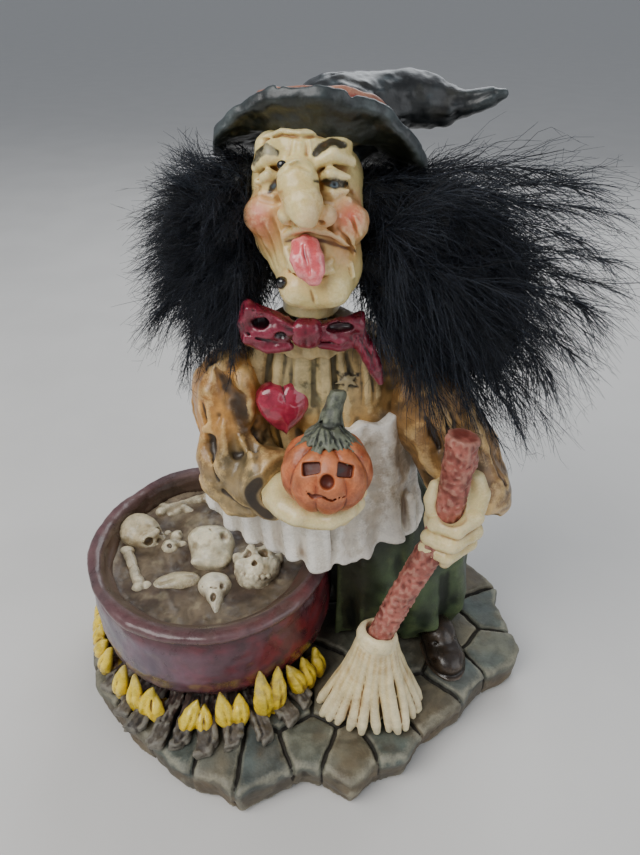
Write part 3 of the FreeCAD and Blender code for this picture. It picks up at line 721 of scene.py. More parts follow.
DRESS = resin("bodice_paint", rough=(0.36, 0.58), wash=(rgb(56, 52, 36), 0.85, 0.1, 0.8),
              dry=(rgb(214, 194, 146), 0.5, 0.2, 0.8), mottle=(230, 0.26), bump=0.3,
              coat=(0.1, 0.2))
SLEEVE = resin("sleeve_paint", rough=(0.3, 0.5), wash=(rgb(40, 28, 14), 0.94, 0.08, 0.75),
               dry=(rgb(232, 196, 132), 0.5, 0.22, 0.8), mottle=(210, 0.3), bump=0.3,
               coat=(0.25, 0.2))
APRON = resin("apron_paint", rough=(0.22, 0.45), wash=(rgb(112, 88, 66), 0.8, 0.08, 0.8),
              dry=(rgb(250, 247, 238), 0.6, 0.2, 0.8), mottle=(240, 0.12), coat=(0.3, 0.18))
HEART = resin("heart_paint", rough=(0.14, 0.3), wash=(rgb(60, 6, 12), 0.8, 0.15, 0.75),
              dry=(rgb(236, 96, 110), 0.25, 0.25, 0.8), mottle=(500, 0.12), bump=0.22,
              coat=(0.9, 0.08))
BOW = resin("bow_paint", rough=(0.2, 0.4), wash=(rgb(26, 6, 12), 0.9, 0.02, 0.6),
            dry=(rgb(160, 62, 84), 0.35, 0.25, 0.8), mottle=(350, 0.25), coat=(0.55, 0.18))
GOURD = resin("pumpkin_paint", rough=(0.34, 0.52), wash=(rgb(96, 34, 14), 0.8, 0.08, 0.7),
              dry=(rgb(206, 130, 84), 0.45, 0.15, 0.8), mottle=(380, 0.22), bump=0.35,
              coat=(0.1, 0.2))
STALK = resin("stalk_paint", rough=(0.4, 0.62), wash=(rgb(22, 22, 18), 0.95, 0.0, 0.45),
              dry=(rgb(128, 132, 110), 0.55, 0.2, 0.8), mottle=(300, 0.3), bump=0.35)
SKIN = resin("skin_paint", rough=(0.26, 0.44), wash=(rgb(150, 98, 38), 0.9, 0.1, 0.95),
             dry=(rgb(240, 228, 184), 0.35, 0.3, 0.8), mottle=(170, 0.07), bump=0.1,
             bump_scale=1400, coat=(0.22, 0.25), subsurface=0.16)
TONGUE = resin("tongue_paint", rough=(0.12, 0.28), wash=(rgb(120, 24, 40), 0.8, 0.12, 0.75),
               dry=(rgb(248, 176, 176), 0.4, 0.25, 0.8), mottle=(500, 0.15), bump=0.3,
               coat=(0.9, 0.08), subsurface=0.1)
WART = resin("wart_paint", rough=(0.08, 0.18), wash=(rgb(4, 3, 3), 0.75, 0.1, 0.75),
             dry=((0.7, 0.66, 0.55), 0.0, 0.25, 0.8), mottle=(300, 0.1), bump=0.05,
             coat=(1.0, 0.04))
HAT = resin("hat_paint", rough=(0.34, 0.58), wash=(rgb(3, 4, 5), 0.85, 0.05, 0.75),
            dry=(rgb(78, 88, 90), 0.35, 0.35, 1.1), mottle=(230, 0.35), bump=0.5,
            bump_scale=1500, coat=(0.3, 0.28))
BAND = resin("band_paint", rough=(0.35, 0.55), wash=(rgb(40, 16, 14), 0.8, 0.1, 0.75),
             dry=(rgb(176, 134, 108), 0.5, 0.1, 0.6), mottle=(260, 0.25), bump=0.35)


def feather_material():
    s = Shader("feather_down")
    paint = s.attribute("paint", "Color")
    grain = s.noise(scale=700, detail=4.0, rough=0.6)
    s.set("Base Color", s.blend(paint, s.ramp(grain, 0.3, 0.75, 0.5, 1.7), 1.0, "MULTIPLY"))
    s.set("Roughness", s.ramp(grain, 0.3, 0.7, 0.42, 0.68))
    s.set("Specular IOR Level", 0.35)
    s.set("Sheen Weight", 0.22)
    s.set("Sheen Roughness", 0.35)
    s.set("Sheen Tint", (0.42, 0.52, 0.68, 1))
    ribs = s.noise(scale=5200, detail=3.0, rough=0.6, stretch=(1.0, 1.0, 0.12))
    s.set("Normal", s.bump(ribs, strength=0.5, distance=0.00012))
    return s.material


FEATHER = feather_material()


# ---------------------------------------------------------------------------------------------
# base
# ---------------------------------------------------------------------------------------------
# x, y round the edge of the base
BASE_OUTLINE = [
    (-53.4, -8.4), (-50.5, -14.5), (-46.6, -17.9), (-42.1, -23.2), (-36.9, -26.9), (-32.8, -30.0),
    (-27.9, -33.2), (-21.1, -35.0), (-16.0, -38.2), (-12.5, -36.2), (-3.7, -33.2), (1.1, -34.0),
    (6.1, -36.4), (11.2, -32.4), (17.5, -31.0), (22.4, -24.9), (31.4, -19.0), (36.6, -13.0),
    (45.6, -8.4), (47.9, -4.8), (46.5, 3.3), (45.2, 9.2), (47.0, 13.6), (42.8, 20.5),
    (38.5, 25.4), (30.6, 29.8), (22.4, 32.6), (14.2, 36.4), (4.2, 35.2), (-5.8, 37.6),
    (-15.6, 36.8), (-25.8, 38.2), (-36.2, 36.4), (-45.0, 31.0), (-50.8, 24.0), (-54.2, 15.0),
    (-55.4, 5.2), (-54.6, -2.2)]
# x, y of the middle of each flagstone
FLAGS = np.array([
    (-47.0, -12.0), (-38.5, -21.0), (-30.0, -28.6), (-20.5, -30.0), (-12.0, -31.0), (-2.5, -27.0),
    (6.5, -30.0), (15.0, -26.5), (23.5, -18.5), (30.5, -10.5), (40.0, -4.5), (33.5, 1.5),
    (41.5, 7.0), (38.0, 17.0), (28.0, 23.0), (18.0, 29.0), (6.0, 30.0), (-5.0, 32.5),
    (-16.0, 32.0), (-27.0, 33.5), (-38.0, 31.0), (-46.5, 24.0), (-50.0, 14.0), (-51.0, 4.0),
    (-50.5, -4.0), (13.0, -15.0), (3.0, -17.0), (-7.0, -19.0), (22.0, -4.0), (24.0, 8.0),
    (12.0, 4.0), (10.0, 18.0), (-2.0, 21.0), (-24.0, 8.0), (-33.0, -12.0)])
FLAG_TINTS = [(96, 97, 84), (108, 102, 84), (84, 90, 82), (102, 94, 76), (88, 92, 86)]


def flagstones():
    clay = Clay((-57.0, -40.0, 0.2), (50.0, 40.0, 10.8), 0.38)
    x, y, wander = plan_grid(clay)
    warp_x = wander(7.0, 11) * 0.7
    warp_y = wander(7.0, 12) * 0.7
    rim = outline_distance(x + warp_x * 0.6, y + warp_y * 0.6, BASE_OUTLINE)
    away = np.sqrt((x[..., None] + warp_x[..., None] - FLAGS[:, 0]) ** 2
                   + (y[..., None] + warp_y[..., None] - FLAGS[:, 1]) ** 2)
    order = np.argsort(away, axis=2)[..., :2]
    near = np.take_along_axis(away, order[..., :1], 2)[..., 0]
    next_near = np.take_along_axis(away, order[..., 1:2], 2)[..., 0]
    own, other = order[..., 0], order[..., 1]
    apart = np.hypot(FLAGS[own, 0] - FLAGS[other, 0], FLAGS[own, 1] - FLAGS[other, 1])
    joint = (next_near ** 2 - near ** 2) / (2 * apart)      # distance to the joint between flags
    rng = np.random.default_rng(5)
    lift = rng.uniform(-0.45, 0.15, len(FLAGS))
    tilt = rng.uniform(-0.035, 0.035, (len(FLAGS), 2))
    top = (9.05 + lift[own] + tilt[own, 0] * (x - FLAGS[own, 0])
           + tilt[own, 1] * (y - FLAGS[own, 1]))
    top = top - 0.95 * (1 - ease(0.15, 0.62, joint)) - 0.22 * (1 - ease(0.4, 1.5, joint)) \
        - 0.4 * (1 - ease(0.2, 1.4, -rim))
    top = top + wander(2.4, 21) * 0.16
    # level seat under the cauldron
    top = np.where(np.hypot(x - POT_X, y - POT_Y) < 17.5, np.minimum(top, 8.9), top)
    z = clay.axes[2][None, None, :]
    side = rim[..., None] + 0.45 * clay.ripple((3.6, 3.6, 2.2), 31) \
        + 0.16 * clay.ripple(1.2, 32) + 0.9 * ((9.0 - z) / 8.0) ** 2 * 0.35
    side = side + 0.9 * np.clip(0.35 - joint, 0, 0.35)[..., None] * 2.0
    clay.fill(np.maximum(soft_max(side, z - top[..., None], 0.9), 1.04 - z))
    tints = np.array([rgb(*tint) for tint in FLAG_TINTS])

    def paint(points, normals):
        k = ((points[:, None, :2] - FLAGS[None]) ** 2).sum(2).argmin(1)
        flat = np.hypot(normals[:, 0], normals[:, 1])
        return layered(
            tints[k % len(tints)] * (1 + 0.12 * np.sin(k * 2.7))[:, None],
            ((84, 70, 50), patch(points, 5.0, 41, 0, 0.8) * 0.7),
            ((76, 88, 86), patch(points, 8.0, 45, 0, 0.7) * 0.5),
            ((92, 76, 56), ease(7.6, 5.0, points[:, 2]) * 0.6),
            ((150, 144, 122), ease(0.35, 0.75, normals[:, 2]) * ease(0.25, 0.7, flat) * 0.4),
            ((70, 58, 46), ease(34.0, 27.0, from_pot(points)) * 0.55))
    skin(clay, "flagstones", "flagstone_base", STONE, paint, (0.8, 2.4))


# ---------------------------------------------------------------------------------------------
# cauldron and stew
# ---------------------------------------------------------------------------------------------
# radius, height round half of the pot's section
POT_SECTION = [
    (0, 8.95), (17, 8.95), (21.6, 11.2), (24.6, 14), (26.5, 17.6), (27.1, 21.6), (26.9, 26),
    (26.4, 31), (25.8, 32.9), (25.9, 33.5), (26.8, 34), (27.3, 34.7), (27.3, 35.6), (26.7, 36.2),
    (25.4, 36.3), (24.4, 35.9), (23.8, 34.4), (23.55, 28), (0, 28)]
STEW_RADIUS = 23.4
# x, y, height, width of swells and dips in the stew
STEW_SWELLS = [(-31, 1, -0.9, 3.2), (-35.5, 15.5, -0.8, 3.0), (-19, 12, -0.9, 3.4),
               (-30.5, 14, 0.5, 3.0), (-17, -9, -0.4, 3.5)]


def revolved(clay, section, step=0.12):
    """Distance to a section turned about the cauldron's axis."""
    section = np.asarray(section, float)
    radii = np.arange(0, section[:, 0].max() + 6, step)
    flat = outline_distance(*np.meshgrid(radii, clay.axes[2], indexing="ij"), section)
    flat = np.clip(flat, -3, 3).astype(F32)
    x, y = np.meshgrid(clay.axes[0], clay.axes[1], indexing="ij")
    place = np.hypot(x - POT[0], y - POT[1]) / step
    i = np.clip(np.floor(place).astype(int), 0, len(radii) - 2)
    part = np.clip(place - i, 0, 1)[..., None].astype(F32)
    return flat[i] * (1 - part) + flat[i + 1] * part


def cauldron():
    clay = Clay((-54.2, -25.3, 8.2), (5.2, 34.1, 37.4), 0.38)
    clay.dist = revolved(clay, POT_SECTION)
    clay.rough(((9, 9, 7), 0.42, 51), (1.6, 0.12, 52), ((7, 7, 3), 0.2, 53))
    x, y, z = clay.grid()
    radius = np.hypot(x - POT[0], y - POT[1])
    clay.dist = np.maximum(clay.dist, np.minimum(23.45 - radius, z - 28.6)).astype(F32)
    # uneven inner lip, off centre
    inner = np.sqrt((x - POT[0] + 0.8) ** 2 + (y - POT[1] - 1.6) ** 2) \
        + 0.5 * clay.ripple((6, 6, 6), 54)
    lip = soft_max(22.0 - inner, (z - 32.3 - 3.4 * ease(21.8, 26.0, inner)) * 0.8, 0.7)
    lip = np.maximum(lip, np.maximum(radius - 25.6, 28.4 - z))
    clay.fill(soft_min(clay.dist, lip, 0.8))

    def paint(points, normals):
        z, radius = points[:, 2], from_pot(points)
        fine = mottle(points, 3.6, 64)
        angle = np.degrees(np.arctan2(points[:, 1] - POT_Y, points[:, 0] - POT_X))
        red = bell(angle, -40, 42.0)
        # painted sheen: a grey-blue reflection on the left side of the belly
        grey = bell(angle, -128, 40.0) * ease(13.0, 19.0, z) * ease(32.5, 29.0, z)
        return coats(
            points, (86, 42, 50), ((54, 36, 42), patch(points, 9.0, 61, -0.2, 0.7)),
            ((124, 34, 42), ease(0.0, 0.9, fine + 0.4 * red) * (0.3 + 0.5 * red)),
            ((122, 44, 52), bell(z, 16.0, 2.6) * ease(-0.1, 0.6, fine) * 0.7),
            ((112, 106, 122), grey * 0.5),
            ((92, 70, 66), ease(33.4, 35.4, z) * (0.4 + 0.45 * ease(0.0, 0.5, fine))),
            ((84, 66, 54), ease(26.2, 23.6, radius) * ease(28.0, 30.0, z) * 0.85),
            # painted shade: a dark line in the groove under the rim
            ((40, 20, 24), bell(z, 33.2, 0.7) * ease(24.6, 25.4, radius) * 0.8))
    skin(clay, "cauldron", "cauldron_pot", IRON, paint, (0.8, 2.6))


def stew_surface():
    clay = Clay((-49.0, -20.2, 26.6), (0.0, 29.0, 33.6), 0.36)
    x, y, wander = plan_grid(clay)
    radius = np.hypot(x - POT[0], y - POT[1])
    top = 30.6 + 0.6 * wander(6.0, 71) + 0.22 * wander(2.0, 75)
    for at_x, at_y, height, width in STEW_SWELLS:
        top = top + 1.25 * height * np.exp(-(((x - at_x) ** 2 + (y - at_y) ** 2) / width ** 2))
    top = top + 0.9 * ease(20.5, STEW_RADIUS, radius)
    z = clay.axes[2][None, None, :]
    within = np.maximum((z - top[..., None]) * 0.85, (radius - STEW_RADIUS)[..., None])
    clay.fill(np.maximum(within, 27.0 - z))

    def paint(points, normals):
        return coats(points, (104, 90, 72), ((74, 60, 48), patch(points, 5.0, 81, -0.1, 0.7)),
                     ((146, 134, 108), patch(points, 2.6, 84, 0.1, 0.8) * 0.5),
                     ((92, 66, 60), ease(20.0, STEW_RADIUS, from_pot(points)) * 0.5))
    skin(clay, "stew_surface", "cauldron_stew", STEW, paint, (0.7, 2.0))


# ---------------------------------------------------------------------------------------------
# bones in the stew
# ---------------------------------------------------------------------------------------------
def bone(clay, name, hollows, base=(196, 182, 148), dark=(64, 50, 36), pits=()):
    """pits holds (centre, radius) of the places painted dark."""
    def paint(points, normals):
        return coats(points, base, ((150, 130, 94), patch(points, 2.4, 91, 0, 0.8) * 0.7),
                     ((112, 94, 70), ease(33.0, 30.6, points[:, 2]) * 0.7),
                     *((dark, spot(points, p, r, 1.15, 0.75) * 0.9) for p, r in pits))
    node = {"skull_left": "stew_skull_left", "skull_centre": "stew_skull_centre",
            "skull_right": "stew_skull_right"}.get(name, "stew_" + name)
    skin(clay, name, node, BONE, paint, hollows)


def skull_left():
    clay = Clay((-50.5, 4.0, 28.0), (-35.4, 19.0, 37.8), 0.2)
    at = offset_from(vec(-43.6, 12.0, 31.0))
    clay.put(0, egg(at(0, 0, 0), (4.6, 4.6, 4.2)))
    clay.put(1.0, egg(at(2.6, -1.2, -0.2), (3.2, 3.6, 3.2)))
    clay.put(0.8, egg(at(4.8, -2.0, -1.2), (2.6, 2.4, 1.8)))
    clay.put(0.6, pill(at(2.6, -4.2, 1.6), at(5.0, -2.4, 2.2), 0.8))
    pits = [(at(3.3, -4.0, 0.9), 1.15), (at(5.4, -0.9, 1.1), 1.05), (at(5.7, -3.2, 0.2), 0.65)]
    clay.dig(0.35, *(egg(p, r) for p, r in pits))
    for k in range(4):
        clay.dig(0.2, pill(at(5.4 + 0.4 * k - 0.4, -4.4 + 0.9 * k, -0.8),
                           at(6.6 + 0.3 * k - 0.4, -4.9 + 0.95 * k, -2.2), 0.2))
    clay.dig(0.25, chain([at(-3, -3.4, 2.5), at(-1, -4.2, 2.2), at(1, -4.3, 2.8)], 0.16))
    clay.rough((1.5, 0.14, 101)).rough((0.6, 0.06, 102))
    bone(clay, "skull_left", (0.45, 1.3), pits=pits)


def skull_centre():
    clay = Clay((-31.8, -2.0, 28.0), (-18.8, 14.0, 37.8), 0.2)
    at = offset_from(vec(-25.2, 6.2, 31.0))
    clay.put(0, egg(at(0, 1.2, 0), (5.2, 4.8, 4.6)))
    clay.put(1.4, egg(at(0.4, -2.6, -0.4), (4.6, 3.6, 3.8)))
    clay.put(1.2, egg(at(-3.4, 2.4, 1.0), (2.4, 3.0, 2.6)))
    clay.put(0.8, pill(at(-3.2, -4.6, 0.8), at(3.0, -4.8, 0.6), 0.9))
    clay.dig(0.4, chain([at(-1.5, 4.0, 3.2), at(0.3, 1.2, 4.8), at(0.2, -2.4, 4.0)], 0.18))
    clay.dig(0.6, egg(at(3.4, 0.6, 3.6), (1.0, 1.6, 0.8)))
    clay.rough((2.2, 0.22, 111)).rough((0.7, 0.06, 112))
    bone(clay, "skull_centre", (0.5, 1.6), base=(214, 204, 174))


def skull_right():
    clay = Clay((-21.6, -8.0, 28.0), (-7.0, 9.0, 37.8), 0.2)
    at = offset_from(vec(-14.2, 0.6, 30.8))
    clay.put(0, egg(at(0, 0, 0), (5.2, 4.8, 4.2)))
    clay.put(0.8, egg(at(-0.4, -3.2, -0.4), (3.6, 2.6, 2.8)))
    knobs = [(-3.6, -1.0, 2.0, 1.3), (3.6, -0.6, 1.8, 1.4), (-1.4, 2.0, 3.6, 1.3),
             (2.4, 2.6, 3.0, 1.5), (0.2, -1.0, 3.9, 0.9), (4.6, 2.4, 0.8, 1.3),
             (-4.4, 2.2, 0.8, 1.3)]     # x, y, z, radius
    clay.put(0.6, *(egg(at(x, y, z), r) for x, y, z, r in knobs))
    pits = [(at(-2.1, 0.7, 3.6), 1.1), (at(1.5, 0.9, 3.9), 1.15), (at(-0.2, -1.9, 3.3), 0.75)]
    clay.dig(0.3, *(egg(p, (r, r, r * 1.1)) for p, r in pits))
    for k in range(6):      # teeth
        x = -2.9 + 1.15 * k
        clay.put(0.15, egg(at(x, -4.6 + 0.10 * (x - 0.3) ** 2, 1.6), (0.55, 0.6, 0.95)))
    clay.dig(0.25, chain([at(-3.2, -3.9, 2.6), at(0, -4.4, 2.9), at(3.2, -3.7, 2.4)], 0.3))
    clay.rough((1.0, 0.2, 121)).rough((0.5, 0.08, 122))
    bone(clay, "skull_right", (0.4, 1.2), base=(210, 200, 172), pits=pits)


def beaked_skull():
    clay = Clay((-28.4, -14.0, 28.2), (-18.2, 0.4, 34.6), 0.18)
    at = offset_from(vec(-23.2, -4.2, 30.4))
    clay.put(0, egg(at(0, 0, 0), (3.7, 3.2, 2.5)))
    beak = [at(0.2, -1.5, 0.2), at(0.9, -4.4, 0.3), at(1.3, -7.6, -0.2)]
    clay.put(0.9, chain(beak, [2.5, 1.6, 0.45]))
    pit = at(0.35, -4.6, 1.55)
    clay.dig(0.15, egg(pit, (0.62, 1.05, 0.8)))
    clay.dig(0.3, egg(at(2.2, -1.8, 1.8), (0.7, 0.8, 0.6)),
             chain([at(-2.4, -1.6, 1.4), at(0.2, -2.6, 2.3), at(2.6, -2.4, 1.4)], 0.18))
    clay.rough((1.4, 0.12, 131))
    bone(clay, "beaked_skull", (0.4, 1.2), base=(212, 204, 180), dark=(34, 34, 36),
         pits=[(pit, 0.85), (at(1.2, -7.4, 0.2), 0.6)])


def shoulder_blade():
    clay = Clay((-39.0, -8.0, 28.2), (-25.0, 1.6, 34.0), 0.2)
    clay.put(0, egg((-31.6, -3.0, 30.2), (5.0, 2.5, 1.9), turn("z", 9)))
    clay.put(1.0, egg((-35.2, -4.2, 30.0), (2.0, 1.2, 1.0)))
    clay.dig(0.7, chain([(-35, -4.2, 31.6), (-31, -3.4, 32.6), (-27.5, -2.6, 31.8)], 0.3))
    clay.rough((1.6, 0.14, 141))
    bone(clay, "shoulder_blade", (0.45, 1.3), base=(206, 194, 158))


def thigh_bone():
    clay = Clay((-47.5, -9.0, 28.2), (-35.0, 7.4, 34.0), 0.2)
    shaft = [(-44.6, 5.6, 30.4), (-42.4, 1.0, 30.2), (-40.0, -3.6, 30.2)]
    clay.put(0, chain(shaft, [1.3, 1.05, 1.35]))
    clay.put(0.5, egg((-45.0, 6.0, 30.5), (1.7, 1.2, 1.3)), egg((-39.9, -5.0, 30.4), 1.35))
    clay.put(0.4, egg((-38.2, -4.4, 30.3), 1.2))
    clay.rough((1.2, 0.14, 143))
    bone(clay, "thigh_bone", (0.4, 1.2), base=(204, 194, 166))


def arm_bone():
    clay = Clay((-46.0, 18.0, 28.2), (-26.0, 30.0, 34.0), 0.2)
    shaft = [(-38.8, 20.4, 30.3), (-34.6, 22.9, 30.1), (-29.4, 24.9, 30.3)]
    clay.put(0, chain(shaft, [1.45, 1.1, 1.35]))
    splint = [(-37.5, 19.0, 30.0), (-34.6, 21.0, 30.2), (-32.0, 20.2, 29.9)]
    clay.put(0.5, egg((-39.7, 19.3, 30.4), 1.4), egg((-39.4, 21.2, 30.3), 1.4),
             egg((-28.6, 24.2, 30.4), 1.3), chain(splint, [0.8, 1.3, 0.7]))
    clay.rough((1.3, 0.15, 145))
    bone(clay, "arm_bone", (0.4, 1.2), base=(196, 186, 158))


def knuckle_bone():
    clay = Clay((-39.5, 3.0, 28.2), (-29.5, 15.6, 34.6), 0.2)
    clay.put(0, egg((-35.3, 7.2, 30.3), (2.1, 2.2, 1.9)))
    clay.put(0.6, egg((-34.4, 10.6, 30.2), (1.5, 2.4, 1.6)))
    clay.put(0.4, egg((-36.6, 11.8, 30.2), (1.1, 1.0, 1.1)),
             egg((-32.7, 8.4, 30.2), (1.2, 0.9, 1.0)))
    clay.dig(0.3, egg((-35.0, 6.4, 32.2), 0.7)).dig(0.2, egg((-36.8, 7.6, 31.6), 0.5))
    clay.rough((1.0, 0.16, 147))
    bone(clay, "knuckle_bone", (0.4, 1.1), base=(200, 190, 160),
         pits=[((-35.0, 6.4, 32.0), 0.8)])


# ---------------------------------------------------------------------------------------------
# fire round the cauldron
# ---------------------------------------------------------------------------------------------
# angle round the pot, radius of the outer end
LOGS = [(-166, 29.6), (-153, 30.0), (-140, 31.2), (-128, 32.6), (-117, 34.2), (-107, 35.2),
        (-97, 34.4), (-88, 35.6), (-78, 34.6), (-68, 35.2), (-58, 34.2), (-47, 33.0)]
# angle round the pot, height, number of tongues
FLAMES = [(-172, 9.0, 2), (-159, 7.6, 2), (-147, 7.0, 1), (-132, 8.2, 1), (-119, 8.0, 2),
          (-112, 5.6, 1), (-96, 6.6, 1), (-90, 4.4, 1), (-78, 8.0, 2), (-61, 12.0, 2),
          (-44, 8.8, 2), (-33, 6.4, 1), (171, 8.6, 2), (156, 9.4, 1), (141, 8.2, 2),
          (126, 9.6, 2), (110, 7.6, 1)]
PETAL = [(0, 0.5), (0.28, 1.0), (0.6, 0.8), (0.85, 0.42), (1, 0.08)]


def plank(start, end, width, height, side, roll):
    axes = axes_along(end - start, side) @ turn("z", roll)
    half = float(np.linalg.norm(end - start)) / 2

    def local(x, y, z):
        section = soft_max(np.abs(x + 0.2 * np.sin(z * 0.9)) - width * (1.0 - 0.12 * z / half),
                           np.abs(y) - height * (1.0 - 0.15 * z / half), 0.7)
        return soft_max(section, np.abs(z + 0.25 * x) - half, 0.6)
    return placed((start + end) / 2, axes, local, (width + 1, height + 1, half + 1))


def firewood(rng):
    clay = Clay((-62.0, -33.5, 8.6), (3.6, 1.0, 14.0), 0.26)
    for angle, radius in LOGS:
        out, side = spoke(math.radians(angle))
        sway = rng.uniform(-1, 1)
        width = rng.uniform(1.5, 2.1)
        start = POT + out * 19.5 + vec(0, 0, 11.0)
        end = POT + out * radius + side * sway * 1.6 + vec(0, 0, 9.7)
        clay.put(0.15, plank(start, end, width, 1.5, side, rng.uniform(-14, 14)))
        split_end = end + side * (width + 0.1) * (1 if sway < 0 else -1) \
            - out * rng.uniform(0.6, 2.4) + vec(0, 0, 0.5)
        split_start = start + side * (0.8 if sway < 0 else -0.8)
        clay.put(0.15, plank(split_start, split_end, 0.85, 1.3, side, rng.uniform(-25, 25)))
        for k in (-0.62, 0.05, 0.6):
            clay.dig(0.2, pill(start + side * width * k + vec(0, 0, 1.65),
                               end + side * width * (k + 0.15 * sway) + vec(0, 0, 1.35) + out,
                               0.24))
    clay.rough(((1.2, 1.2, 0.8), 0.26, 151)).rough((0.6, 0.08, 152))
    clay.keep(lambda x, y, z: 8.75 - z)

    def paint(points, normals):
        return coats(points, (86, 78, 68), ((62, 56, 50), patch(points, 3.0, 155, -0.1, 0.7)),
                     ((52, 26, 22), ease(31.0, 27.0, from_pot(points)) * 0.7))
    skin(clay, "firewood", "firewood_logs", LOG, paint, (0.5, 1.4))


def flames(rng):
    clay = Clay((-57.5, -28.5, 8.8), (6.6, 37.0, 23.0), 0.27)
    for angle, height, count in FLAMES:
        out, side = spoke(math.radians(angle))
        root = POT + out * 27.0 + vec(0, 0, 10.4)
        clay.put(0.4, egg(root, (2.2, 2.4, 1.6), turn("z", angle)))
        foot = 29.4 + (1.04 if angle in (-96, -90) else 0)
        tongues = [(0.0, 1.0)] if count == 1 else [(-1.75, 1.0), (1.75, 0.86)]
        for offset, scale in tongues:
            scale *= rng.uniform(0.94, 1.06)
            lean = rng.uniform(-1.6, 1.6) + (3.4 if angle == -96 else 0.0)
            low = POT + out * foot + side * (offset * 0.75 - lean * 0.4) + vec(0, 0, 9.7)
            high = POT + out * 27.1 + side * (offset * 1.15 + lean * 0.6) \
                + vec(0, 0, 9.9 + height * scale)
            rise = high - low
            mid = (low + high) / 2 + out * 0.75
            width = 1.75 + 0.05 * height
            belly = (width * 0.8, 1.3, float(np.linalg.norm(rise)) * 0.34)
            clay.put(0.15, leaf(low - rise * 0.03, high, side, width, 1.35, PETAL))
            clay.put(0.5, egg(mid - rise * 0.08, belly, axes_along(rise, side)))
            clay.dig(0.35, chain([low + out * 1.5 + side * 0.2, mid + out * 1.45 + side * 0.35,
                                  high * 0.86 + low * 0.14 + out * 1.0], [0.25, 0.42, 0.15]))
    clay.rough((1.5, 0.12, 161))

    def paint(points, normals):
        ragged = points[:, 2] + 1.3 * mottle(points, 2.2, 165)
        return coats(
            points, (222, 182, 20), ((238, 212, 60), ease(11.0, 13.5, ragged) * 0.5),
            ((150, 134, 108),
             ease(15.6, 18.6, ragged) * 0.75 * patch(points, 3.0, 166, -0.5, 0.3)),
            ((72, 18, 20),
             ease(28.6, 26.9, from_pot(points)) * 0.9 * ease(16.5, 14.0, points[:, 2])),
            ((92, 34, 20), patch(points, 3.0, 168, 0.35, 0.75) * 0.5))
    skin(clay, "flames", "flame_tongues", FLAME, paint, (0.5, 1.4))


# ---------------------------------------------------------------------------------------------
# broom
# ---------------------------------------------------------------------------------------------
# middle line of the stick, from the collar up
STICK = [(11.6, -18.4, 31.0), (17.2, -15.2, 43.2), (21.4, -12.7, 50.8), (23.6, -11.2, 56.5),
         (24.4, -10.6, 64.0), (24.8, -9.9, 75.0)]


def broom_stick():
    clay = Clay((7.4, -22.4, 28.6), (29.6, -5.4, 77.4), 0.24)
    clay.put(0.8, chain(STICK, [2.35, 2.45, 2.65, 2.68, 2.65, 2.6]),
             egg((24.9, -9.8, 74.1), (2.6, 2.6, 1.3)), egg((22.0, -14.4, 51.6), (1.4, 1.2, 1.8)))
    clay.put(0.9, egg((27.0, -9.0, 69.0), (1.3, 1.6, 2.2)))
    ridges, grain = clay.ripple((1.1, 1.1, 1.3), 171), clay.ripple((0.65, 0.65, 0.75), 172)
    clay.dist = clay.dist + (0.26 * np.abs(ridges) * 1.4 - 0.2 + 0.24 * grain).astype(F32)
    clay.keep(lambda x, y, z: z - 75.1 + 0.14 * (x - 24.8) + 0.1 * (y + 9.9))
    clay.keep(lambda x, y, z: 29.6 - z)

    def paint(points, normals):
        return coats(points, (160, 94, 82), ((118, 58, 50), patch(points, 2.4, 175, -0.2, 0.6)),
                     ((178, 124, 106), patch(points, 4.0, 178, 0.2, 0.9) * 0.6))
    skin(clay, "broom_stick", "broom_handle", BARK, paint, (0.4, 1.2))


def broom_collar():
    clay = Clay((6.0, -24.4, 27.0), (17.6, -12.6, 36.6), 0.2)
    centre, up = vec(11.5, -18.5, 31.6), unit((0.3, 0.16, 1.0))
    axes = axes_along(up)

    def ring(x, y, z):
        over = np.maximum(np.sqrt(x * x + y * y) - 3.1, 0)
        return np.sqrt(over ** 2 + (np.abs(z) * 0.62) ** 2) - 1.15
    clay.put(0, placed(centre, axes, ring, (5, 5, 4)))
    for k in range(14):
        angle = 2 * math.pi * k / 14
        c, s = math.cos(angle), math.sin(angle)
        at = offset_from(centre + axes @ vec(3.6 * c, 3.6 * s, 0), axes)
        clay.dig(0.3, pill(at(0.75 * c, 0.75 * s, 2.2), at(0.9 * c, 0.9 * s, -2.4), 0.22))
    clay.dig(0.3, pill(centre + up * 0.2, centre + up * 6, 2.75)).rough((1.6, 0.18, 181))
    skin(clay, "broom_collar", "broom_binding", STRAW, plain(226, 208, 160),
         (0.45, 1.4))


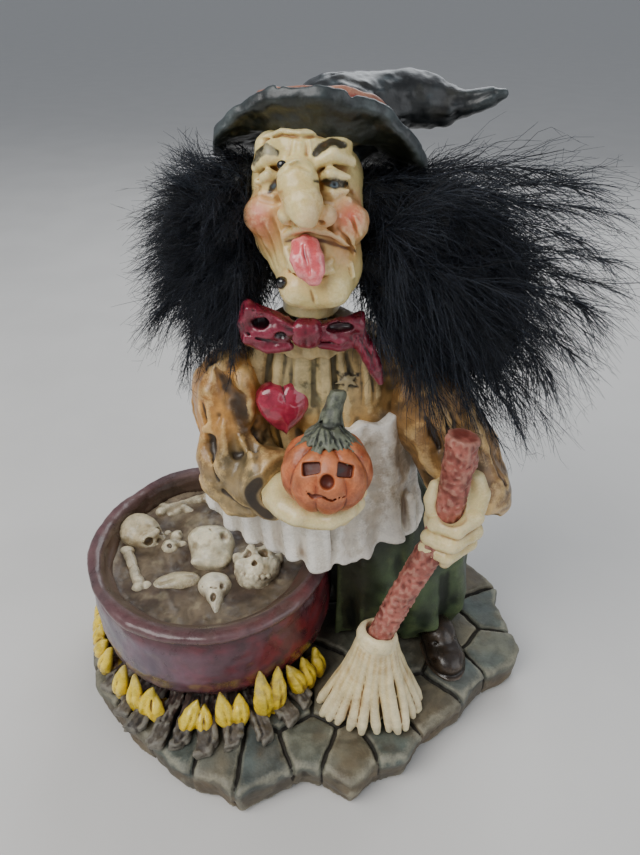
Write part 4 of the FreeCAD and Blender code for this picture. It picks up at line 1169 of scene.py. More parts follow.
def broom_straw():
    clay = Clay((-3.5, -30.6, 8.4), (25.5, -9.4, 32.6), 0.27)
    rng = np.random.default_rng(19)
    clay.put(0, chain([(11.4, -18.7, 30.4), (11.2, -19.2, 24.0), (11.0, -19.6, 17.0),
                       (11.0, -19.8, 11.0)], [2.4, 2.6, 3.3, 4.2]))
    count = 24
    for k in range(count):
        angle = 2 * math.pi * (k + rng.uniform(-0.2, 0.2)) / count
        c, s = math.cos(angle), math.sin(angle)
        sway = rng.uniform(-0.8, 0.8)
        top = vec(11.5 + 3.3 * c, -18.6 + 3.1 * s, 31.0)
        spread = rng.uniform(0.92, 1.08)
        bottom = vec(11.2 + 10.6 * c * spread, -19.6 + 6.6 * s * spread, 9.6)
        side = vec(-s, c, 0)
        tuft = []
        for f in (0, 0.25, 0.5, 0.75, 0.92, 1.0):
            t = f ** 1.25
            p = top * (1 - t) + bottom * t + side * (sway * math.sin(f * 5.2 + k) * f * 1.5)
            p[2] = 31.0 - 21.2 * f
            tuft.append(p)
        clay.put(0.1, chain(tuft, [0.85, 0.9, 1.02, 1.15, 1.15, 0.8]))
        out = unit(vec(c, s, 0.25))
        for q in (-0.5, 0.5):
            line = [p + side * q + out * r
                    for p, r in zip(tuft, (1.05, 1.15, 1.36, 1.52, 1.5, 1.3))]
            clay.dig(0.18, chain(line, 0.18))
    clay.rough(((1.6, 1.6, 5.0), 0.12, 185))
    clay.keep(lambda x, y, z: GROUND - z)

    def paint(points, normals):
        return coats(points, (222, 202, 150),
                     ((186, 150, 90), patch(points, 3.0, 188, 0, 0.8) * 0.7),
                     ((240, 230, 196), ease(20.0, 10.0, points[:, 2]) * 0.5))
    skin(clay, "broom_straw", "broom_bristles", STRAW, paint, (0.5, 1.6))


# ---------------------------------------------------------------------------------------------
# dress
# ---------------------------------------------------------------------------------------------
# z, centre x, centre y, half width, half depth
SKIRT_RINGS = [(10.6, 16, 10, 18.2, 15.4), (16, 16.4, 9.8, 19.6, 15.8),
               (22, 16.4, 9.6, 19.8, 15.4), (32, 15.6, 9.6, 19.4, 14.6),
               (42, 11.6, 9.6, 16.6, 12.8), (54.5, 6.6, 9.4, 14.0, 11.0)]
BODICE_RINGS = [(53.2, 5.4, 9.4, 14.4, 11.4), (62, 2.6, 9, 15.4, 11.2),
                (74, 0.6, 8.4, 17.2, 11.2), (80, 0, 8.0, 16.8, 11.0),
                (84.5, -0.6, 7.4, 14.4, 9.8), (88, -1.1, 6.0, 10.6, 8.0),
                (90.6, -1.4, 5, 7.2, 6.6)]
APRON_RINGS = [(41.0, 4.0, 5.0, 18.4, 15.2), (44.0, 3.6, 5.4, 18.6, 15.2),
               (49, 3.0, 6.2, 17.6, 14.4), (56, 3, 7.4, 16.8, 13.6),
               (62, 2.4, 8.0, 16.8, 12.8), (74.5, 1.4, 8.2, 17.0, 12.4)]
RIGHT_WRIST = [(-9.3, -9.7, 64.6), (-4.0, -13.6, 64.6)]


def loft(x, y, z, rings):
    """Distance to the side of a stack of ellipses, and the angle round it."""
    heights, *columns = np.array(rings, float).T
    centre_x, centre_y, wide, deep = [np.interp(z, heights, c).astype(F32) for c in columns]
    x, y = x - centre_x, y - centre_y
    ring = np.sqrt((x / wide) ** 2 + (y / deep) ** 2) + F32(1e-6)
    return (ring - 1) * np.sqrt(x * x + y * y) / ring, np.arctan2(y / deep, x / wide)


def capped_loft(x, y, z, rings):
    ends = np.maximum(F32(rings[0][0]) - z, z - F32(rings[-1][0]))
    return np.maximum(loft(x, y, z, rings)[0], ends)


def green_underskirt():
    clay = Clay((-12.5, -9.5, 9.6), (40.0, 28.5, 56.0), 0.42)
    x, y, z = clay.grid()
    angle = np.arctan2(y - 9.8, x - 15.5)
    low = ease(34.0, 11.0, z)
    wave = np.sin(angle * 9 + 0.09 * z + 0.8 * np.sin(angle * 2 + 1.0)) * 0.75 \
        + np.sin(angle * 17 + 0.6) * 0.3
    dist = capped_loft(x, y, z, SKIRT_RINGS) + (1.5 * low + 0.45) * wave.astype(F32)
    hem = 11.0 + 1.2 * np.sin(angle * 9 + 2.2) + 0.5 * np.sin(angle * 21)
    clay.fill(np.maximum(dist, hem - z))
    clay.rough(((4, 4, 9), 0.35, 201), ((1.8, 1.8, 3.4), 0.16, 202))
    # room for the cauldron, the broom and the boots
    clay.dig(0.4, ((-54, -26, 8), (5, 34, 34), lambda x, y, z: np.maximum(
        np.sqrt((x - POT_X) ** 2 + (y - POT_Y) ** 2) - 28.9, z - 34.0)))
    clay.dig(0.3, chain([(11.2, -19.2, 24.0), (11.4, -18.6, 31.0), *STICK[1:3]],
                        [6.0, 4.8, 3.4, 3.4]))
    clay.dig(0.6, *(egg(p, (6.2, 5.6, 3.6)) for p in ((28.6, -5.6, 12.2), (13.6, -6.6, 12.0))))

    def paint(points, normals):
        x, y, z = points.T
        return coats(points, (66, 82, 52), ((38, 50, 34), patch(points, 7.0, 205, -0.1, 0.7)),
                     ((96, 106, 66), patch(points, 3.0, 208, 0.1, 0.9) * 0.5),
                     ((60, 54, 38), ease(15.0, 10.0, z) * 0.6),
                     # painted shade: dark on the side towards the cauldron, and towards the top
                     # under the apron
                     ((40, 36, 28), ease(16.0, 8.0, x) * 0.8),
                     ((30, 32, 26), ease(36.0, 44.0, z) * 0.75))
    skin(clay, "green_underskirt", "green_skirt", GREEN, paint, (0.9, 2.6))


def boot_pair():
    clay = Clay((5.0, -18.5, 8.6), (37.5, 9.0, 16.8), 0.3)
    for x, y, degrees, scale in ((28.8, -5.0, 12, 1.0), (13.6, -6.0, -8, 0.92)):
        axes = turn("z", degrees)
        at = offset_from(vec(x, y, 10.4), axes)
        clay.put(0, egg(at(0, -2.6, 0.2), vec(4.3, 5.4, 3.2) * scale, axes))
        clay.put(1.2, egg(at(0, 2.4, 1.6), vec(4.0, 5.0, 4.2) * scale, axes))
        clay.put(0.15, egg(at(0, -1.0, -1.2), vec(4.9, 8.0, 1.1) * scale, axes))
        clay.dig(0.4, pill(at(-4.6, -1.0, 3.2), at(4.6, -1.0, 3.2), 0.22))
    clay.rough((1.6, 0.12, 211)).keep(lambda x, y, z: GROUND - z)
    skin(clay, "boot_pair", "boots", BOOT, plain(46, 36, 28), (0.6, 1.6))


def gathered_bodice():
    clay = Clay((-19.5, -8.5, 52.6), (21.5, 22.5, 91.4), 0.34)
    x, y, z = clay.grid()
    angle = np.arctan2(y - 6.0, x - 0.0)
    fold = np.sin(angle * 15 + 0.9 * np.sin(angle * 5) + 0.1 * z) * 0.6 \
        + np.sin(angle * 9 - 0.1 * z + 1.1) * 0.5
    clay.fill(capped_loft(x, y, z, BODICE_RINGS) + 0.8 * ease(90.5, 86.0, z) * fold.astype(F32))
    clay.rough(((3, 3, 5), 0.3, 221), (1.1, 0.12, 222))
    for k in range(8):      # gathers below the collar
        out, _ = spoke(math.radians(-146 + 16.0 * k + 5.0 * math.sin(k * 2.3)))
        line = [clay.ray(vec(-0.6 + 0.4 * k * 0.1, 6.0, z) + out * 24, -out) + out * 0.1
                for z in (89.5, 86.0, 81.5, 76.5)]
        clay.dig(0.8, chain(line, [0.25, 0.45, 0.3, 0.1]))
    star = clay.ray((4.8, -20, 80.8), (0, 1, 0.05))
    axes = axes_along((0.1, -0.9, 0.4))
    at = offset_from(star, axes)
    for k in range(6):
        t = 2 * math.pi * k / 6 + 0.4
        tip = at(2.5 * math.cos(t), 2.1 * math.sin(t), 0.15)
        clay.put(0.12, pill(at(0, 0, 0.3), tip, 0.62, 0.12))
    clear_bore(clay, 4.35, 80.3, 95)

    def paint(points, normals):
        x, y, z = points.T
        front = ease(-0.2, 0.5, -normals[:, 1])
        mid = bell(x, -2.0, 9.0) * front * ease(72, 78, z)
        # painted shadow of the hair, patchy, on the +X side of the front
        shade = ease(5.5, 12.0, x) * front * patch(points, 3.6, 232, -0.3, 0.4)
        local = (points - star) @ axes
        turned = np.arctan2(local[:, 1], local[:, 0])
        reach = 1.3 + 1.2 * np.maximum(0, np.cos(6 * (turned - 0.4)))
        on_star = ease(reach + 0.3, reach - 0.1, np.hypot(local[:, 0], local[:, 1])) \
            * (np.abs(local[:, 2]) < 2)
        return coats(points, (182, 142, 80), ((150, 112, 64), patch(points, 4.0, 225, -0.2, 0.6)),
                     ((200, 184, 134), mid * 0.85),
                     ((92, 98, 78), patch(points, 2.6, 228, 0, 0.8) * mid * 0.8),
                     ((34, 36, 28), mid * patch(points, 1.8, 229, 0.35, 0.6) * 0.7),
                     ((66, 46, 28), shade * 0.75),
                     ((96, 72, 42), patch(points, 5.0, 230, 0.1, 0.8) * 0.35 * (1 - mid)),
                     ((24, 24, 24), on_star * 0.95))
    skin(clay, "gathered_bodice", "bodice", DRESS, paint, (0.55, 1.8))


# ---------------------------------------------------------------------------------------------
# sleeves and apron
# ---------------------------------------------------------------------------------------------
# each roll and crease: points, radius
RIGHT_ROLLS = [
    ([(-17.2, 1.0, 84.2), (-19.8, -2.0, 79.0), (-20.6, -4.4, 73.0)], 1.5),
    ([(-13.6, -1.2, 82.6), (-14.4, -4.4, 77.0), (-13.6, -6.2, 71.0)], 1.4),
    ([(-20.6, -1.4, 72.0), (-21.2, -4.4, 66.4), (-19.4, -7.6, 60.8)], 1.4),
    ([(-17.0, -5.4, 73.0), (-17.4, -7.8, 67.0), (-14.0, -9.8, 61.4)], 1.5),
    ([(-12.6, -7.2, 71.6), (-10.4, -10.2, 70.0), (-8.4, -12.0, 69.2)], 1.2),
    ([(-20.6, -6.0, 61.6), (-16.6, -9.4, 58.2), (-12.6, -11.0, 58.2)], 1.4),
    ([(-11.6, -11.6, 62.6), (-8.8, -13.2, 61.4), (-6.8, -13.6, 61.6)], 1.1),
    ([(-22.4, 5.0, 78.0), (-22.9, 4.0, 71.0), (-21.8, 2.0, 65.0)], 1.2)]
RIGHT_CREASES = [
    ([(-18.6, -1.4, 83.6), (-16.4, -4.6, 80.6), (-12.4, -6.2, 79.0)], 1.0),
    ([(-17.0, -4.2, 79.2), (-16.0, -6.0, 74.0), (-15.4, -7.6, 69.2)], 0.7),
    ([(-21.2, -3.6, 77.6), (-21.0, -6.4, 70.4), (-18.8, -9.4, 64.6)], 0.75),
    ([(-12.0, -7.4, 76.8), (-11.2, -9.0, 72.4), (-12.6, -10.6, 67.8)], 0.6),
    ([(-23.8, -1.0, 70.0), (-22.6, -5.4, 63.4), (-18.2, -9.0, 57.4)], 0.6),
    ([(-13.6, -10.6, 66.6), (-11.0, -12.6, 64.6), (-8.6, -14.0, 64.8)], 0.7),
    ([(-17.8, -9.6, 62.2), (-13.8, -11.4, 60.2), (-9.8, -12.6, 59.6)], 0.6),
    ([(-25.0, 3.0, 75.0), (-24.4, 0.4, 68.0)], 0.5)]
LEFT_ROLLS = [
    ([(20.0, -1.4, 79.0), (23.6, -3.4, 72.0), (26.0, -4.6, 65.0)], 1.4),
    ([(25.4, 0.4, 78.0), (29.0, -1.6, 70.0), (31.4, -4.0, 62.8)], 1.5),
    ([(28.4, 4.0, 72.0), (33.0, 2.4, 66.0), (36.0, 0.2, 58.6)], 1.4),
    ([(27.6, -5.6, 62.0), (31.0, -7.6, 58.4), (35.4, -5.2, 56.0)], 1.3),
    ([(18.0, -1.6, 70.0), (20.4, -4.0, 65.6), (22.8, -5.6, 62.4)], 1.2)]
LEFT_CREASES = [
    ([(22.8, -3.2, 77.0), (26.4, -4.2, 70.0), (28.6, -6.0, 63.6)], 0.8),
    ([(28.2, 0.2, 73.6), (31.8, -2.0, 66.6), (33.8, -4.6, 60.4)], 0.75),
    ([(19.2, -3.4, 74.0), (21.8, -5.4, 68.6)], 0.7),
    ([(32.4, 3.4, 68.6), (35.8, 1.0, 61.6)], 0.6)]
# ends of the folds along the apron's spread edge
APRON_FOLD_TOPS = np.array([(-22.4, 2.6, 54.6), (-18.0, -0.6, 57.0), (-12.0, -4.6, 57.6),
                            (-6.0, -8.6, 57.0), (0.6, -11.2, 56.6)])
APRON_FOLD_ENDS = np.array([(-22.7, 2.0, 50.2), (-17.5, -2.2, 46.0), (-11.0, -6.2, 46.2),
                            (-5.0, -9.6, 45.8), (1.0, -11.8, 44.2)])


def drape(clay, rolls, creases, axis):
    """Raised rolls with creases between them, cut towards the upright line at axis."""
    clay.put(2.6, *(groove(points, radius, 0.8, 0.7, 1.15) for points, radius in rolls))
    for points, radius in creases:
        line = []
        for p in points:
            p = vec(*p)
            out = unit(p - vec(axis[0], axis[1], p[2] - 2.0))
            line.append(clay.ray(p + out * 9.0, -out))
        clay.dig(0.9, groove(line, radius * 0.85, 0.35, 0.35))


def sleeve_paint(seed, dark, cuff=False, base=(186, 134, 68), deep=(146, 98, 48)):
    def paint(points, normals):
        x, y, z = points.T
        layers = [(deep, patch(points, 5.0, seed, -0.2, 0.7)),
                  ((206, 160, 92), patch(points, 3.4, seed + 3, 0.1, 0.9) * 0.5),
                  ((62, 46, 28), patch(points, 6.0, seed + 6, 0.3, 0.85) * 0.6)]
        if cuff:
            low = ease(-23.0, -15.0, x + 0.4 * (72.0 - z)) * ease(75.0, 69.0, z)
            layers += [((128, 116, 84), low * 0.8),
                       ((84, 74, 50), low * patch(points, 3.0, seed + 9, 0, 0.6) * 0.6)]
        # painted shade: near black in the holes, deep folds and sleeve mouths
        layers += [((22, 17, 12), spot(points, p, r, 1.25, 0.6) * 0.95) for p, r in dark]
        return coats(points, base, *layers)
    return paint


def right_sleeve():
    clay = Clay((-28.0, -14.0, 51.5), (-1.5, 18.0, 88.2), 0.3)
    clay.put(0, egg((-16.0, 4.6, 73.4), (8.1, 9.2, 11.6)))
    clay.put(2.4, egg((-15.6, -1.2, 63.0), (7.5, 8.2, 8.0)))
    clay.put(1.4, chain([(-15.0, -2.2, 62.2), (-9.6, -8.6, 64.2)], [6.9, 6.0]))
    clay.put(0.8, chain([(-9.8, -8.4, 64.2), (-8.0, -10.6, 65.0)], [6.2, 6.6]))
    clay.put(2.0, chain([(-16.6, -3.0, 60.0), (-14.6, -6.6, 56.0)], [5.4, 2.4]))
    drape(clay, RIGHT_ROLLS, RIGHT_CREASES, (-15.0, 3.0))
    hole = vec(-20.4, 0.4, 84.4)
    clay.dig(0.6, egg(hole + vec(0.6, 0.4, 0.6), (2.0, 1.5, 1.6)))
    deep = [(-17.2, -2.2, 82.4), (-14.8, -5.0, 78.8), (-12.6, -6.8, 74.2), (-11.4, -8.8, 70.4)]
    clay.dig(1.0, chain(deep, [0.9, 2.0, 1.9, 0.5]))
    clay.rough(((2.6, 2.6, 3.6), 0.32, 241)).rough((1.1, 0.12, 242))
    clay.dig(0.3, chain(RIGHT_WRIST, 3.9))
    clay.keep(lambda x, y, z: (x + 6.8) * 0.62 - (y + 12.0) * 0.72 + (z - 65) * 0.12)
    # places of painted shade: the hole, the deep fold and the cuff's opening
    dark = [(hole, 2.2), ((-16.2, -3.8, 80.8), 1.7), (deep[1], 2.7), (deep[2], 2.5),
            ((-13.7, -5.9, 76.5), 2.7), ((-6.4, -12.2, 65.4), 3.6)]
    skin(clay, "drape_sleeve_right", "sleeve_right", SLEEVE,
         sleeve_paint(245, dark, cuff=True), (0.55, 1.9))


def left_sleeve():
    clay = Clay((10.5, -13.0, 46.5), (42.5, 18.0, 86.0), 0.32)
    clay.put(0, egg((20.6, 6.2, 72.6), (8.9, 9.2, 11.6)))
    clay.put(2.4, egg((26.4, 2.4, 63.2), (7.6, 8.2, 8.8)))
    clay.put(1.8, chain([(26.6, 1.2, 62.2), (29.8, -2.6, 56.8)], [6.6, 7.8]))
    clay.put(1.6, chain([(31.0, -1.0, 57.6), (36.8, -2.0, 55.6)], [5.6, 1.6]))
    drape(clay, LEFT_ROLLS, LEFT_CREASES, (24.0, 4.0))
    clay.rough(((2.6, 2.6, 3.6), 0.32, 251)).rough((1.1, 0.12, 252))
    out = unit((0.22, -0.58, -0.72))
    mouth = vec(29.0, -6.6, 53.0)
    clay.keep(lambda x, y, z: (x - 31.0) * 0.25 + (y + 5.6) * (-0.42) + (z - 52.0) * (-0.87)
              - 0.9 + 0.5 * np.sin(x * 0.9))
    clay.dig(0.6, chain([mouth + out * 5, mouth - out * 4.0], [6.6, 5.4]))
    clay.dig(0.3, chain(STICK, 3.5))
    # painted shade: the sleeve's mouth is darkened, and its base and deep colours are darker than
    # the right sleeve's under the hair
    skin(clay, "drape_sleeve_left", "sleeve_left", SLEEVE,
         sleeve_paint(255, [(mouth, 6.0)], base=(142, 106, 62), deep=(92, 70, 44)), (0.55, 1.9))


def gathered_apron():
    clay = Clay((-25.5, -14.0, 40.6), (24.0, 12.5, 75.0), 0.32)
    x, y, z = clay.grid()
    dist, angle = loft(x, y, z, APRON_RINGS)
    flare = ease(58.0, 43.0, z)
    phase = np.sin(angle * 2 + 0.5)
    wave = np.sin(angle * 9.0 + 1.1 * phase + 0.4) * 0.7 + 0.3 * np.sin(angle * 17 + 0.5)
    dist = dist + (0.45 + 1.7 * flare) * wave
    shell = np.abs(dist + 1.0) - (1.15 + 0.5 * ease(46, 42, z))
    hem = 44.2 + 1.1 * np.sin(angle * 7.0 + 0.9 * phase + 2.0) + 0.35 * np.sin(angle * 23) \
        + 0.07 * np.abs(x) ** 1.15 * 0.25
    side = np.abs(angle + math.pi / 2) - 1.46
    top = z - (72.4 + 0.6 * np.sin(angle * 15) - 12.5 * ease(3.6, -1.0, x))
    clay.fill(soft_max(soft_max(shell, (hem - z) * 0.8, 0.9), np.maximum(top, side * 11.0), 0.4))
    clay.rough(((2.4, 2.4, 3.4), 0.26, 261), (1.0, 0.12, 262))
    for i, u in enumerate(np.linspace(0, 4, 27)):
        high, low = [vec(*(np.interp(u, range(5), column) for column in table.T))
                     for table in (APRON_FOLD_TOPS, APRON_FOLD_ENDS)]
        sway = math.sin(i * 1.35 + 0.6)
        clay.put(0.9, pill(
            high + vec(-0.4, -0.9, 0) * sway * 0.4,
            low + vec(-0.45, -0.9, 0) * sway * 0.9 + vec(0, 0, 0.5 * math.cos(i * 0.9)),
            1.0, 1.05))
    clay.put(1.2, pill((18.5, -0.6, 52.8), (19.2, -0.6, 45.4), 1.1))
    clay.dig(0.3, chain(STICK, 3.1)).dig(0.2, chain(RIGHT_WRIST, 3.2))

    def paint(points, normals):
        x, y, z = points.T
        # painted shadow on the upper +X part of the apron, under the left arm
        painted_shadow = np.exp(-(((x - 13.0) / 5.0) ** 2 + ((z - 62.0) / 7.0) ** 2))
        # painted shade on the surfaces facing back and down
        inner = ease(0.1, 0.6, normals[:, 1]) + ease(0.2, 0.7, -normals[:, 2])
        return coats(points, (214, 206, 190),
                     ((196, 180, 156), patch(points, 4.0, 265, -0.1, 0.8) * 0.7),
                     ((138, 112, 90), patch(points, 3.4, 268, 0.1, 0.9) * 0.6),
                     ((128, 104, 84), painted_shadow * 0.5),
                     ((120, 98, 76), np.clip(inner, 0, 1) * 0.6))
    skin(clay, "gathered_apron", "apron", APRON, paint, (0.5, 1.8))


# ---------------------------------------------------------------------------------------------
# collar, bow and heart
# ---------------------------------------------------------------------------------------------
def frilled_collar():
    clay = Clay((-10.6, -5.0, 85.4), (7.6, 13.0, 92.4), 0.26)
    x, y, z = clay.grid()
    radius = np.sqrt((x - NECK_X) ** 2 + (y - NECK_Y) ** 2)
    angle = np.arctan2(y - NECK_Y, x - NECK_X)
    outer = 7.5 + 0.35 * np.sin(angle * 14) - 0.12 * (z - 87.5)
    wall = soft_max(radius - outer, 5.95 - radius, 0.6)
    clay.fill(soft_max(wall, np.abs(z - 88.5 - 0.25 * np.sin(angle * 14 + 1.0)) - 2.1, 0.9))
    clay.rough((1.0, 0.12, 271))
    skin(clay, "frilled_collar", "collar", DRESS, plain(206, 180, 124),
         (0.45, 1.4))


def ribbon_knot():
    clay = Clay((-6.2, -9.8, 87.6), (2.6, -2.2, 98.0), 0.17)

    def block(x, y, z):
        corner = np.abs(x / 2.5) ** 3 + np.abs(y / 1.7) ** 2.4 + np.abs(z / 2.5) ** 3
        return corner ** (1 / 3) * 2.2 - 2.2
    clay.put(0, placed((-2.1, -6.2, 93.0), np.eye(3), block, (4, 3, 4)))
    for k, radius in ((-1.5, 0.3), (-0.2, 0.42), (1.2, 0.3)):
        line = [(-2.1 + k * 0.8, -7.8, 95.9), (-2.1 + k * 0.95, -8.4, 93.3),
                (-2.1 + k * 0.7, -7.8, 90.6)]
        clay.dig(0.35, chain(line, radius))
    clay.rough((0.9, 0.1, 273))
    skin(clay, "ribbon_knot", "bow_knot", BOW, plain(108, 24, 42), (0.35, 1.1))


def bow_loop(start, end, height, thick):
    """A slab that widens upright from start to end."""
    start, end = vec(*start), vec(*end)
    length = float(np.linalg.norm(end - start))

    def local(x, y, z):
        t = np.clip(z / length, 0, 1)
        half = (0.9 + (height - 0.9) * t ** 0.8).astype(F32)
        slab = np.abs(y + 0.35 * np.sin(x * 1.3 + z * 0.5)) - thick
        section = soft_max((np.abs(x) - half) * 0.9, slab, 0.5)
        return soft_max(section, np.maximum(-z, z - length), 0.7)
    axes = axes_along(end - start, (0, 0, 1))
    return placed(start, axes, local, (height + 1, thick + 1, length + 1))


def ribbon_loops():
    clay = Clay((-17.6, -9.6, 79.8), (13.8, -0.8, 99.4), 0.2)
    clay.put(0, bow_loop((-3.2, -5.8, 93.0), (-12.2, -4.8, 94.2), 3.7, 1.5))
    clay.put(0.2, bow_loop((-1.0, -5.8, 93.0), (7.4, -4.9, 93.4), 2.6, 1.3))
    wide_hole, small_hole = vec(-9.6, -6.1, 94.8), vec(3.2, -6.4, 94.0)
    clay.dig(0.4, egg(wide_hole, (1.4, 1.7, 1.1), turn("y", -14)),
             egg(small_hole, (2.2, 1.5, 1.0), turn("y", -4)),
             egg((-6.4, -7.3, 92.8), (0.9, 0.9, 0.65), turn("y", 10)),
             chain([(-3.8, -7.3, 93.8), (-6.4, -7.3, 94.8), (-8.4, -6.7, 96.0),
                    (-11.0, -6.3, 97.2)], [0.15, 0.35, 0.3, 0.15]),
             chain([(-4.0, -7.2, 91.6), (-7.2, -7.0, 91.5), (-10.2, -6.5, 92.2),
                    (-12.2, -6.1, 93.2)], [0.15, 0.35, 0.35, 0.15]))
    clay.dig(0.3, chain([(-0.4, -7.1, 92.2), (2.6, -7.0, 91.6), (6.0, -6.5, 92.0)],
                        [0.15, 0.32, 0.15]))
    tail = [(6.4, -5.2, 92.0), (8.0, -5.5, 89.2), (9.3, -5.8, 86.4), (10.2, -5.9, 83.6)]
    clay.put(0.5,
             chain([(-12.0, -4.8, 91.2), (-12.3, -5.0, 94.2), (-11.6, -4.8, 97.4)],
                   [1.0, 1.2, 0.9]),
             chain([(-11.6, -5.0, 91.0), (-8.6, -5.6, 90.2), (-5.2, -6.0, 90.6)],
                   [1.1, 1.2, 0.9]),
             chain([(0.2, -5.8, 90.8), (3.2, -5.8, 90.3), (6.4, -5.2, 90.9)], [0.7, 0.9, 0.8]),
             chain(tail, [1.5, 1.6, 1.3, 0.6]))
    clay.dig(0.3, chain([(x + 0.2, y - 1.5, z) for x, y, z in tail], 0.3))
    clay.rough((1.3, 0.16, 275)).rough((0.6, 0.06, 276))
    clay.dig(0.3, pill((NECK_X, NECK_Y, 90.0), (NECK_X, NECK_Y, 98.0), 6.6))

    def paint(points, normals):
        squash = vec(0.8, 1, 1.3)
        shadows = ((wide_hole, 1.7), (small_hole, 1.9), (vec(-6.4, -6.7, 92.8), 0.9))
        return coats(points, (112, 24, 44), ((70, 14, 28), patch(points, 2.6, 278, -0.1, 0.7)),
                     *(((18, 5, 8), spot((points - p) * squash, (0, 0, 0), r, 1.2, 0.5) * 0.9)
                       for p, r in shadows))
    skin(clay, "ribbon_loops", "bow_loops", BOW, paint, (0.4, 1.2))


# cracks: across, up and out on the heart, and radius
HEART_CRACKS = [
    ([(0.1, 2.8, 1.55), (0.3, 1.0, 1.9), (-0.5, -0.8, 1.9), (0.2, -3.0, 1.55)],
     [0.25, 0.2, 0.22, 0.12]),
    ([(-0.3, 0.0, 1.9), (-1.9, 0.6, 1.7), (-3.4, -0.2, 1.2)], [0.2, 0.18, 0.1]),
    ([(0.2, 1.2, 1.9), (1.8, 0.2, 1.7), (3.2, 0.6, 1.2)], [0.18, 0.2, 0.1]),
    ([(-0.4, -1.0, 1.9), (1.2, -1.8, 1.6)], [0.18, 0.1]),
    ([(-2.0, 0.6, 1.8), (-2.4, 2.4, 1.4)], [0.16, 0.1]),
    ([(2.0, 0.3, 1.8), (1.8, -1.2, 1.5)], [0.16, 0.08])]


def cracked_heart():
    axes = turn("z", 14) @ turn("x", 76)
    centre = vec(-6.4, -3.3, 77.0)
    clay = Clay((-14.4, -9.4, 68.6), (1.8, 4.0, 85.0), 0.18)

    def heart(x, y, z):
        across = np.abs(x / 5.6)
        up = (y + 0.4) / 5.3 - (0.46 * np.sqrt(across + 0.001) - 0.16)
        edge = (np.sqrt(across * across + up * up) - 0.86) * 4.0
        dome = 1.7 - 1.5 * np.clip((edge + 3.2) / 3.2, 0, 1) ** 2.2
        return soft_max(edge, np.maximum(z - np.maximum(dome, 0.3), -z - 2.6), 0.7)
    clay.put(0, placed(centre, axes, heart, (6.6, 7.6, 3.4)))
    at = offset_from(centre, axes)
    clay.dig(0.25, *(chain([at(*p) for p in line], radii) for line, radii in HEART_CRACKS))
    clay.rough((1.3, 0.1, 281))

    def paint(points, normals):
        return coats(points, (164, 44, 68), ((128, 26, 46), patch(points, 2.4, 283, -0.2, 0.6)))
    skin(clay, "cracked_heart", "heart_patch", HEART, paint, (0.35, 1.1))


# ---------------------------------------------------------------------------------------------
# hands and pumpkin
# ---------------------------------------------------------------------------------------------
PUMPKIN = vec(1.1, -17.6, 73.8)
# three points along each finger, radius
OPEN_FINGERS = [([(-1.6, -20.0, 65.2), (1.8, -20.8, 65.6), (4.8, -20.2, 67.0)], 1.8),
                ([(-0.4, -18.4, 64.4), (3.6, -18.8, 64.9), (6.4, -17.8, 66.8)], 1.85),
                ([(0.4, -15.8, 64.2), (4.2, -15.8, 64.6), (7.0, -14.8, 66.6)], 1.8),
                ([(0.0, -13.2, 64.4), (3.8, -12.8, 64.8), (6.6, -12.0, 66.4)], 1.5)]
GRIP_FINGERS = [([(21.4, -13.2, 57.4), (24.8, -15.5, 58.2), (28.8, -12.4, 58.4)], 1.75),
                ([(20.4, -13.4, 54.4), (24.0, -15.9, 54.8), (28.9, -12.8, 55.4)], 1.85),
                ([(20.2, -13.2, 51.4), (23.6, -15.5, 51.5), (28.2, -12.6, 52.2)], 1.75),
                ([(21.0, -12.4, 48.8), (23.8, -14.0, 48.7), (26.8, -12.0, 49.4)], 1.4)]


def hand_paint(points, normals):
    return coats(points, (222, 204, 148), ((204, 174, 108), patch(points, 4.0, 295, 0, 0.8) * 0.6),
                 # painted shade on the undersides of the hands
                 ((196, 150, 84), ease(0.0, 0.8, -normals[:, 2]) * 0.25))


def open_hand():
    clay = Clay((-15.6, -25.6, 57.4), (12.6, -5.4, 72.0), 0.24)
    clay.put(0, chain([(-9.8, -9.2, 64.8), (-5.4, -13.0, 65.2)], [3.2, 3.5]))
    clay.put(1.6, egg((-0.8, -16.2, 65.5), (6.6, 5.8, 2.7)))
    clay.put(1.4, egg((-6.6, -14.4, 65.6), (3.4, 3.2, 3.0)))
    clay.put(0.45, *(chain(line, [r, r * 0.95, r * 0.75]) for line, r in OPEN_FINGERS))
    thumb = [(-7.4, -15.4, 65.8), (-6.0, -18.4, 66.2), (-3.8, -20.6, 66.2)]
    clay.put(0.9, chain(thumb, [2.6, 2.3, 1.8]))
    clay.dig(0.5,
             chain([(-3.8, -20.9, 63.9), (-2.2, -19.6, 62.2), (0.6, -17.6, 61.6)],
                   [0.2, 0.4, 0.25]),
             chain([(3.4, -21.0, 64.2), (1.0, -19.4, 62.0)], [0.35, 0.2]),
             chain([(6.2, -19.0, 63.4), (2.6, -17.4, 61.8)], [0.3, 0.18]),
             chain([(-9.0, -13.0, 62.2), (-6.6, -15.6, 62.2)], 0.25))
    clay.dig(0.3, egg(PUMPKIN, (7.0, 7.0, 6.4)))
    clay.rough((2.0, 0.16, 291))
    skin(clay, "open_hand", "hand_right", SKIN, hand_paint, (0.55, 1.7))


